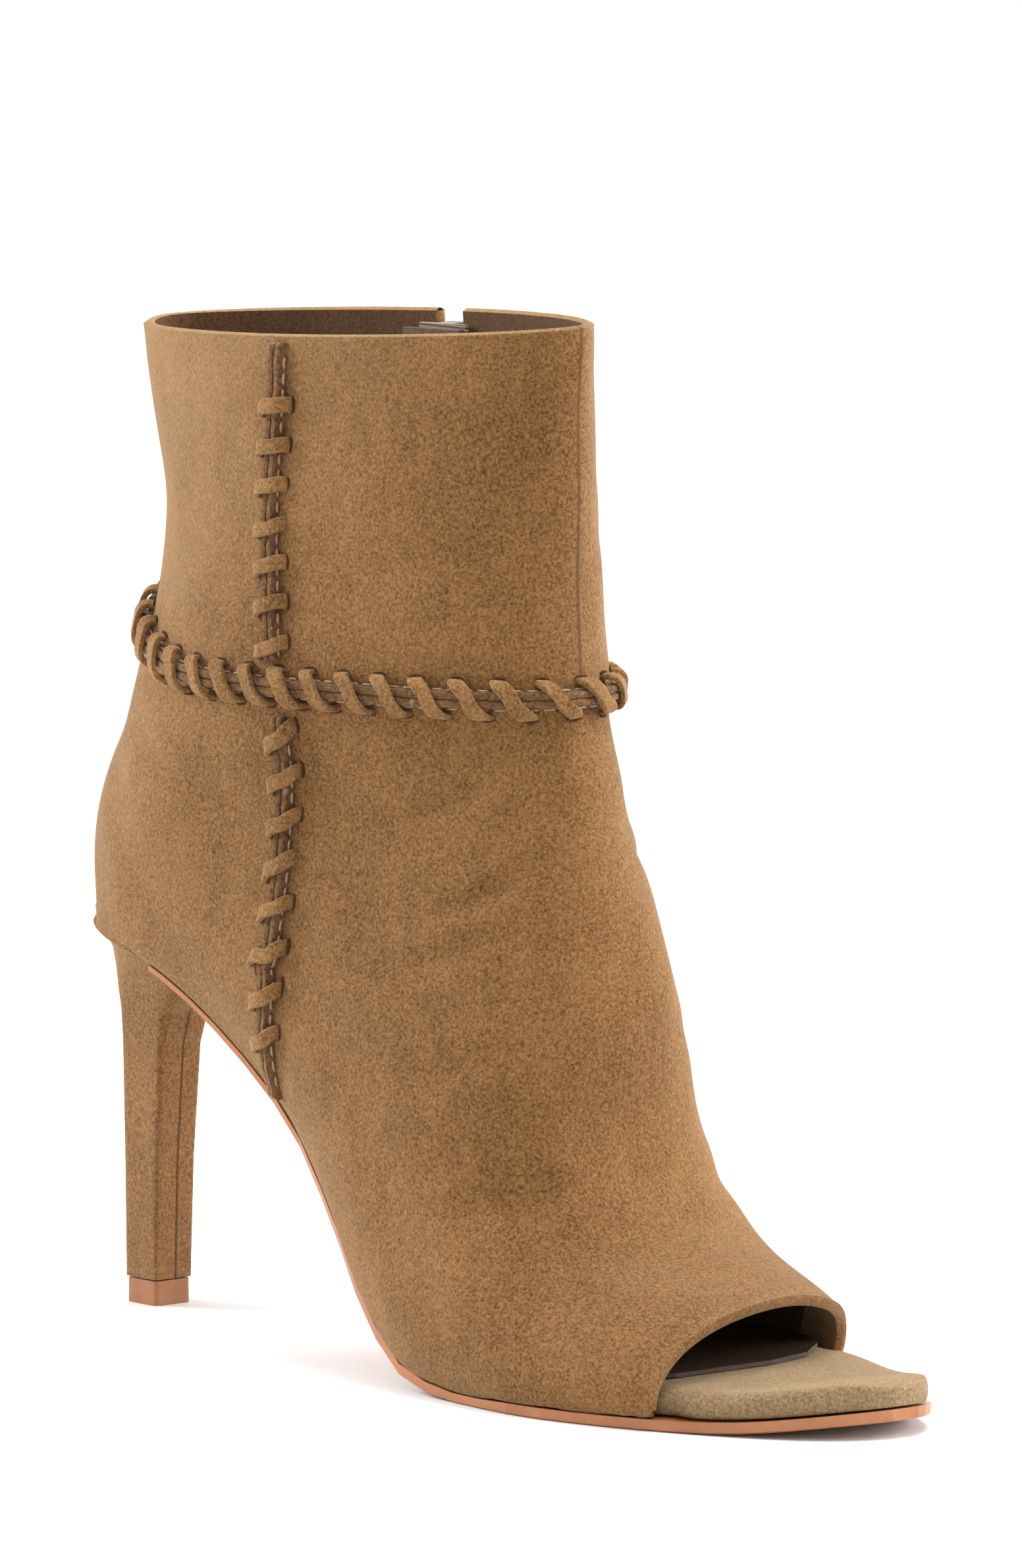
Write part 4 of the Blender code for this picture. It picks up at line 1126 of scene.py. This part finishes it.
# The strip's outline, as shares of its half width and half thickness, a little rounder on top
STRIP_SHAPE = ((-1, -0.3), (-0.9, -0.9), (-0.5, -1), (0.5, -1), (0.9, -0.9), (1, -0.3),
               (1, 0.3), (0.9, 0.85), (0.5, 1.0), (-0.5, 1.0), (-0.9, 0.85), (-1, 0.3))
lace_suede = suede("lace_suede", (0.082, 0.034, 0.010), (0.30, 0.158, 0.060), streaks=0.9)


def turn_path(begin, lean, slant_length):
    """Places along the seam, across and high that one turn of the lace passes, from hole to hole."""
    path = []
    crown = LIP_HEIGHT + TURN_HALF_THICK + CROWN_ROOM
    for k in range(TURN_STEPS + 1):
        angle = pi * (1 - k / TURN_STEPS)
        across = LACE_REACH * TURN_REACH * copysign(abs(cos(angle)) ** TURN_SQUARE, cos(angle))
        high = crown * abs(sin(angle)) ** TURN_SQUARE
        ease = k / TURN_STEPS
        ease = ease * ease * (3 - 2 * ease)
        path.append((begin + slant_length * ease + lean * sin(angle), across, high))
    return [(path[0][0], path[0][1], TURN_DEPTH)] + path + [(path[-1][0], path[-1][1], TURN_DEPTH)]


def strip_rings(track, spots, width, roll):
    """The strip's outline at every place of its path, its face turned by a small roll."""
    small = 0.001
    centres = [track.point(*spot) for spot in spots]
    rings = []
    for k, (centre, (at, across, high)) in enumerate(zip(centres, spots)):
        along = (centres[min(k + 1, len(centres) - 1)] - centres[max(k - 1, 0)]).normalized()
        ahead = track.point(min(at + small, track.length), across, high)
        forward = ahead - track.point(max(at - small, 0), across, high)
        wide = (forward - along * forward.dot(along)).normalized()
        wide = (Matrix.Rotation(roll, 3, along) @ wide).normalized()
        out = wide.cross(along).normalized()
        rings += [centre + wide * width * a + out * TURN_HALF_THICK * b for a, b in STRIP_SHAPE]
    return rings


def lace_turns(name, track, laced, node):
    """Makes the turns of one stretch, and gives back where each of them enters the skin."""
    starts, pitch = stitch_starts(laced)
    points, faces, entries = [], [], []
    for begin in starts:
        lean = chance.uniform(-LEAN_LIMIT, LEAN_LIMIT)
        width = LACE_WIDTH / 2 * chance.uniform(WIDTH_FROM, WIDTH_TO)
        roll = radians(chance.uniform(-ROLL_LIMIT, ROLL_LIMIT))
        path = turn_path(begin, lean, laced.slant * pitch)
        spots = [(min(max(at, 0.0), track.length), across, high) for at, across, high in path]
        faces += tube_faces(len(spots), len(STRIP_SHAPE), first=len(points))
        points += strip_rings(track, spots, width, roll)
        entries += [(track, *spot[:2]) for spot in (spots[0], spots[-1])]
    piece(name, points, faces, [lace_suede], [node], sharp=60)
    return entries


entries = lace_turns("lace_side_lower", side_track, lower_laced, "side_lace_lower")
entries += lace_turns("lace_side_upper", side_track, upper_laced, "side_lace_upper")
entries += lace_turns("lace_ankle", ankle_track, ankle_laced, "ankle_lace")

# %% [markdown]
# A punched hole shows as a dark oval that the lace leaves mostly covered. A real hole could be cut through
# the skin, but a thin disc painted with the hole's shade, just proud of the suede at each place where a turn
# enters it, looks the same here.

# %% Punched holes
HOLE_SIDES = 14
HOLE_LONG, HOLE_WIDE = 0.00150, 0.00050
HOLE_OUTWARD = 0.0005
HOLE_LEVELS = (0.00025, -0.0006)
HOLE_FROM_END = 0.0013
# Painted shade: the discs are coloured dark to stand in for the shade inside the punched holes.
hole_shade_painted = Finish("hole_shade_painted", 0.9)
hole_shade_painted.shader.inputs["Specular IOR Level"].default_value = 0.05
shade = hole_shade_painted.mix(hole_shade_painted.noise(900.0), (0.03, 0.013, 0.005), (0.09, 0.042, 0.017))
hole_shade_painted.feed("Base Color", shade)
points, faces = [], []
for track, at, across in entries:
    at = min(max(at, HOLE_FROM_END), track.length - HOLE_FROM_END)
    side = copysign(HOLE_OUTWARD, across)
    faces += tube_faces(len(HOLE_LEVELS), HOLE_SIDES, first=len(points))
    for level in HOLE_LEVELS:
        for k in range(HOLE_SIDES):
            angle = 2 * pi * k / HOLE_SIDES
            spot = (at + HOLE_LONG * cos(angle), across + side + HOLE_WIDE * sin(angle), level)
            points.append(track.point(*spot))
piece("lace_holes", points, faces, [hole_shade_painted], (), sharp=40)

# %% [markdown]
# A row of machine stitches holds the two panel edges together, low on each side of the ridge. Each stitch
# is a short thread with round ends, a little proud of the suede. A texture could draw them, but real
# threads catch the light and cast small shadows.

# %% Machine stitches
THREAD_PITCH, THREAD_LENGTH, THREAD_RADIUS = 0.0030, 0.0023, 0.00024
THREAD_HIGH, THREAD_ARCH = 0.00075, 0.00012
THREAD_RINGS, THREAD_SIDES = 7, 6
FROM_RIDGE = 0.58
SEAM_TIP = 0.001
thread = Finish("thread", 0.45, Sheen_Weight=0.3, Specular_IOR_Level=0.5)
twist = thread.noise(1600.0, 2.0)
thread.feed("Base Color", thread.mix(twist, (0.17, 0.095, 0.05), (0.40, 0.26, 0.165)))
thread.bump(twist, 0.0001)


def stitches(track, start, end, across):
    points, faces = [], []
    small = 0.001
    for k in range(int((end - start) / THREAD_PITCH)):
        begin = start + (k + 0.2) * THREAD_PITCH
        faces += tube_faces(THREAD_RINGS, THREAD_SIDES, first=len(points))
        for step in range(THREAD_RINGS):
            share = step / (THREAD_RINGS - 1)
            at = begin + THREAD_LENGTH * share
            bulge = sqrt(max(1 - (2 * share - 1) ** 4, 0.02))
            high = THREAD_HIGH + THREAD_ARCH * sin(pi * share)
            centre = track.point(at, across, high)
            side = (track.point(at, across + small, high) - centre).normalized()
            up = (track.point(at, across, high + small) - centre).normalized()
            for turn in range(THREAD_SIDES):
                angle = 2 * pi * turn / THREAD_SIDES
                points.append(centre + (side * cos(angle) + up * sin(angle)) * THREAD_RADIUS * bulge)
    return points, faces


points, faces = [], []
for track, start, end in ((side_track, WALL * 2, below), (side_track, above, side_seam.length - SEAM_TIP),
                          (ankle_track, SEAM_TIP, round_seam.length - SEAM_TIP)):
    for side in (-1, 1):
        more, more_faces = stitches(track, start, end, side * LIP_WIDTH * FROM_RIDGE)
        faces += [tuple(corner + len(points) for corner in face) for face in more_faces]
        points += more
piece("seam_stitches", points, faces, [thread], ())

# %% [markdown]
# The insole is a board with a thin pad, wrapped in pale suede. It shows at the open toe, so it gets a
# crowned top and a soft edge. It could be sculpted, but one cross-section swept along the sole keeps its
# edge on the sole's outline.

# %% Padded insole
INSOLE_THICK = 0.0050
INSOLE_ROUND = 0.0080
SOLE_BEVEL = 0.0006
TOE_FLAT = 0.0004
INSOLE_STATIONS = 90
TIP_THIN = 0.35
BOARD_CLEAR = 0.0001
# One half of the cross-section, as shares of the half width and the thickness, from the middle outward
PAD_HALF = ((0, 1.04), (0.3, 1.04), (0.6, 1.03), (0.84, 1.01), (0.92, 0.95), (0.965, 0.82), (0.99, 0.62),
            (1.0, 0.36), (0.985, 0.14), (0.955, 0.0))
PAD_SHAPE = [(-across, up) for across, up in reversed(PAD_HALF[1:])] + list(PAD_HALF)


def insole_half(share, side):
    """Half width of the insole: inside the wall, and out to the sole's edge at the open toe."""
    foot = 1 - share
    inside = sole_half(share, WALL + 2 * GAP)
    open_toe = sole_half(share, SOLE_BEVEL)
    clear = (opening_foot(side * 0.45) - foot) * LENGTH - GAP * 4
    blend = min(max(clear / (2 * WALL), 0.0), 1.0)
    return inside + (open_toe - inside) * blend * blend * (3 - 2 * blend)


pale_suede = suede("pale_suede", (0.130, 0.078, 0.036), (0.34, 0.238, 0.132), sheen=0.15)
begin, tip = (WALL + 3 * GAP) / LENGTH, 1 - 2 * TOE_FLAT / LENGTH
rings = []
for k in range(INSOLE_STATIONS + 1):
    share = begin + (tip - begin) * (1 - cos(pi * (k / INSOLE_STATIONS))) / 2
    from_tip = min((1 - share) * LENGTH / INSOLE_ROUND, 1.0)
    thick = INSOLE_THICK * (TIP_THIN + (1 - TIP_THIN) * sqrt(1 - (1 - from_tip) ** 2)) - BOARD_CLEAR
    x, middle, low = sole_x(share), sole_middle(share), feather_height(share)
    left, right = insole_half(share, -1), insole_half(share, 1)
    for across, up in PAD_SHAPE:
        reach = left if across < 0 else right
        rings.append((x, middle + across * reach, low + up * thick))
net = tube_faces(INSOLE_STATIONS + 1, len(PAD_SHAPE))
padded = piece("padded_insole", rings, net, [pale_suede], ["insole"], sharp=70)

# %% [markdown]
# Where the upper ends above the heel, its suede is turned under as a thin fold. It is a slim cord of suede
# that follows the line where upper and heel meet, round the back from one side of the waist to the other,
# made of rings of points like the other strips, so that it can taper to a third of its width at both ends.

# %% Fold round the seat
SEAT_FOLD_SHARE, SEAT_FOLD_RADIUS, SEAT_FOLD_INSET = 0.155, 0.0005, 0.0003
SEAT_FOLD_STEPS, SEAT_FOLD_SIDES = 60, 8
SEAT_FOLD_TAPER = 10
fold_path = []
for k in range(-SEAT_FOLD_STEPS, SEAT_FOLD_STEPS + 1):
    share = SEAT_FOLD_SHARE * (abs(k) / SEAT_FOLD_STEPS) ** 1.6
    side = -1 if k < 0 else 1
    half = sole_half(share, SEAT_FOLD_INSET)
    fold_path.append(Vector((sole_x(share), side * half, feather_height(share))))
rings = []
end = len(fold_path) - 1
for k, centre in enumerate(fold_path):
    along = (fold_path[min(k + 1, end)] - fold_path[max(k - 1, 0)]).normalized()
    out = along.cross(Vector((0, 0, 1))).normalized()
    up = out.cross(along)
    size = SEAT_FOLD_RADIUS * min(1.0, 0.35 + min(k, end - k) / SEAT_FOLD_TAPER)
    for corner in range(SEAT_FOLD_SIDES):
        angle = pi * corner / 4
        rings.append(centre + (out * cos(angle) + up * sin(angle)) * size)
net = tube_faces(len(fold_path), SEAT_FOLD_SIDES)
piece("seat_fold", rings, net, [upper_suede], ())

# %% [markdown]
# The hard parts keep the solid model's shape, which is fine enough for plain forms. Each one still gets a
# finish with grain, wear or polish: waxed leather, amber rubber, woven tape and polished metal.

# %% Finishes of the leather and rubber parts
def leather(name, dark, light, roughness, pore=700.0, depth=0.00012, coat=0.0):
    made = Finish(name, roughness, Coat_Weight=coat, Specular_IOR_Level=0.4)
    grain = made.noise(pore, 4.0)
    wide = made.noise(60.0, 3.0)
    made.colour = made.mix(made.clamp(0.5 + (wide - 0.5) * 1.2 + (grain - 0.5) * 0.5), dark, light)
    made.feed("Base Color", made.colour)
    made.feed("Roughness", made.clamp(roughness + (grain - 0.5) * 0.25))
    made.bump(grain, depth)
    return made


heel_suede = suede("heel_suede", (0.085, 0.037, 0.0125), (0.30, 0.158, 0.064))
sole_leather = leather("sole_leather", (0.25, 0.082, 0.024), (0.42, 0.165, 0.058), 0.38, coat=0.2)
lift_rubber = leather("lift_rubber", (0.21, 0.078, 0.028), (0.33, 0.142, 0.058), 0.35, 300.0)
sock_leather = leather("sock_leather", (0.030, 0.016, 0.009), (0.060, 0.034, 0.020), 0.42)
guard_leather = leather("guard_leather", (0.07, 0.042, 0.026), (0.15, 0.095, 0.06), 0.42)
print("leather of", len(sole_leather.tree.nodes), "nodes")

# %% [markdown]
# The heel's cover is one piece of suede that meets itself in a seam down the side that faces the toe. The
# seam is flush, so it is a dark line in the colour, which fades out where the heel turns away from the
# toe.

# %% Seam of the heel's cover
COVER_SEAM = 0.0003
COVER_HALF, COVER_FADE = 0.0001, 0.00045
FRONT_FROM, FRONT_TO = 0.002, 0.003
heel_x, heel_y, _ = heel_suede.split()
in_front = heel_suede.band(heel_x, FRONT_FROM, FRONT_TO)
beside = heel_suede.node("Math", {"operation": "ABSOLUTE"}, {0: heel_y - COVER_SEAM})
cover_seam = (1 - heel_suede.band(beside, COVER_HALF, COVER_FADE)) * in_front
heel_suede.feed("Base Color", heel_suede.mix(cover_seam * 0.85, heel_suede.colour, (0.05, 0.022, 0.008)))
print("cover seam", COVER_SEAM, "m from the middle")

# %% [markdown]
# The zip's tape is woven, so fine bands run across it. Slider, pull tab and teeth are polished metal,
# whose colour and polish vary a little, as fingers leave them.

# %% Finishes of the zip, and who wears what
RIB_SCALE = 420.0
tape_cloth = Finish("tape_cloth", 0.85, Sheen_Weight=0.2)
rib = tape_cloth.node("TexWave", {"wave_type": "BANDS", "bands_direction": "Z"},
                      {"Vector": tape_cloth.place, "Scale": RIB_SCALE, "Distortion": 0.4})
tape_cloth.feed("Base Color", tape_cloth.mix(rib, (0.09, 0.05, 0.028), (0.26, 0.165, 0.10)))
tape_cloth.bump(rib, 0.0002)
chrome = Finish("chrome", 0.14, Metallic=1.0)
smear = chrome.noise(220.0, 3.0)
chrome.feed("Base Color", chrome.mix(smear, (0.62, 0.61, 0.60), (0.86, 0.85, 0.83)))
chrome.feed("Roughness", 0.10 + smear * 0.18)
for node, finish in (("heel", heel_suede), ("heel_top_lift", lift_rubber), ("outsole", sole_leather),
                     ("sock_lining", sock_leather), ("zip_tape", tape_cloth), ("zip_guard", guard_leather),
                     ("zip_slider", chrome), ("zip_pull", chrome)):
    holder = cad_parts[node]
    holder.data.materials.clear()
    holder.data.materials.append(finish.material)
    print(node, "wears", finish.material.name)

# %% [markdown]
# The zip's tape and slider are solids already. The closed chain gets its teeth here: small blocks from
# both sides in turn, which reach past the middle and hold each other. An array on a curve could place
# them, but the measured line of the zip also knows which way is off the skin.

# %% Zip teeth
TOOTH_PITCH, TOOTH_LONG, TOOTH_REACH = 0.0016, 0.0010, 0.0021
SLIDER_LENGTH, SLIDER_COVERS = 0.0105, 0.6
CHAIN_FACE = -WALL * 0.35
# Levels of a tooth above the chain's face, and how much its outline shrinks there
TOOTH_LEVELS = ((-0.0002, 0.0), (0.00035, 0.0), (0.0006, 0.00025))
TOOTH_CORNERS = ((-1, -0.25), (1, -0.25), (1, 1), (-1, 1))
zip_track = Track(Seam(side_line(ZIP_BOTTOM, 2.0, "zip", 1), True))
points, faces = [], []
for k in range(int((zip_track.length - SLIDER_LENGTH * SLIDER_COVERS) / TOOTH_PITCH)):
    at = (k + 1) * TOOTH_PITCH
    side = 1 if k % 2 else -1
    faces += tube_faces(len(TOOTH_LEVELS), len(TOOTH_CORNERS), first=len(points))
    for high, shrink in TOOTH_LEVELS:
        for along, across in TOOTH_CORNERS:
            reach = side * (across * TOOTH_REACH - copysign(shrink, across))
            points.append(zip_track.point(at + along * (TOOTH_LONG / 2 - shrink), reach, CHAIN_FACE + high))
piece("zip_teeth", points, faces, [chrome], (), sharp=40)

# %% [markdown]
# The floor is a sheet of white paper whose colour is painted light: darker near the boot and lighter far
# away, in place of the lamps' falloff. A light that falls off could do that, but a colour that rises with
# the distance keeps the light on the boot as it is.

# %% Finish of the floor
NEAR_FLOOR, FAR_FLOOR = 0.25, 2.0
paper = Finish("paper_floor", 0.95)
from_boot = paper.node("VectorMath", {"operation": "LENGTH"}, {0: paper.place}, 1)
# Painted light: the paper is darker near the boot and lighter far away, in place of the lamps' falloff.
painted_floor_light = paper.band(from_boot, NEAR_FLOOR, FAR_FLOOR)
paper.feed("Base Color", paper.mix(painted_floor_light, (0.745, 0.745, 0.75), (0.93, 0.93, 0.93)))
floor.data.materials.append(paper.material)
print("floor pales between", NEAR_FLOOR, "and", FAR_FLOOR, "m")
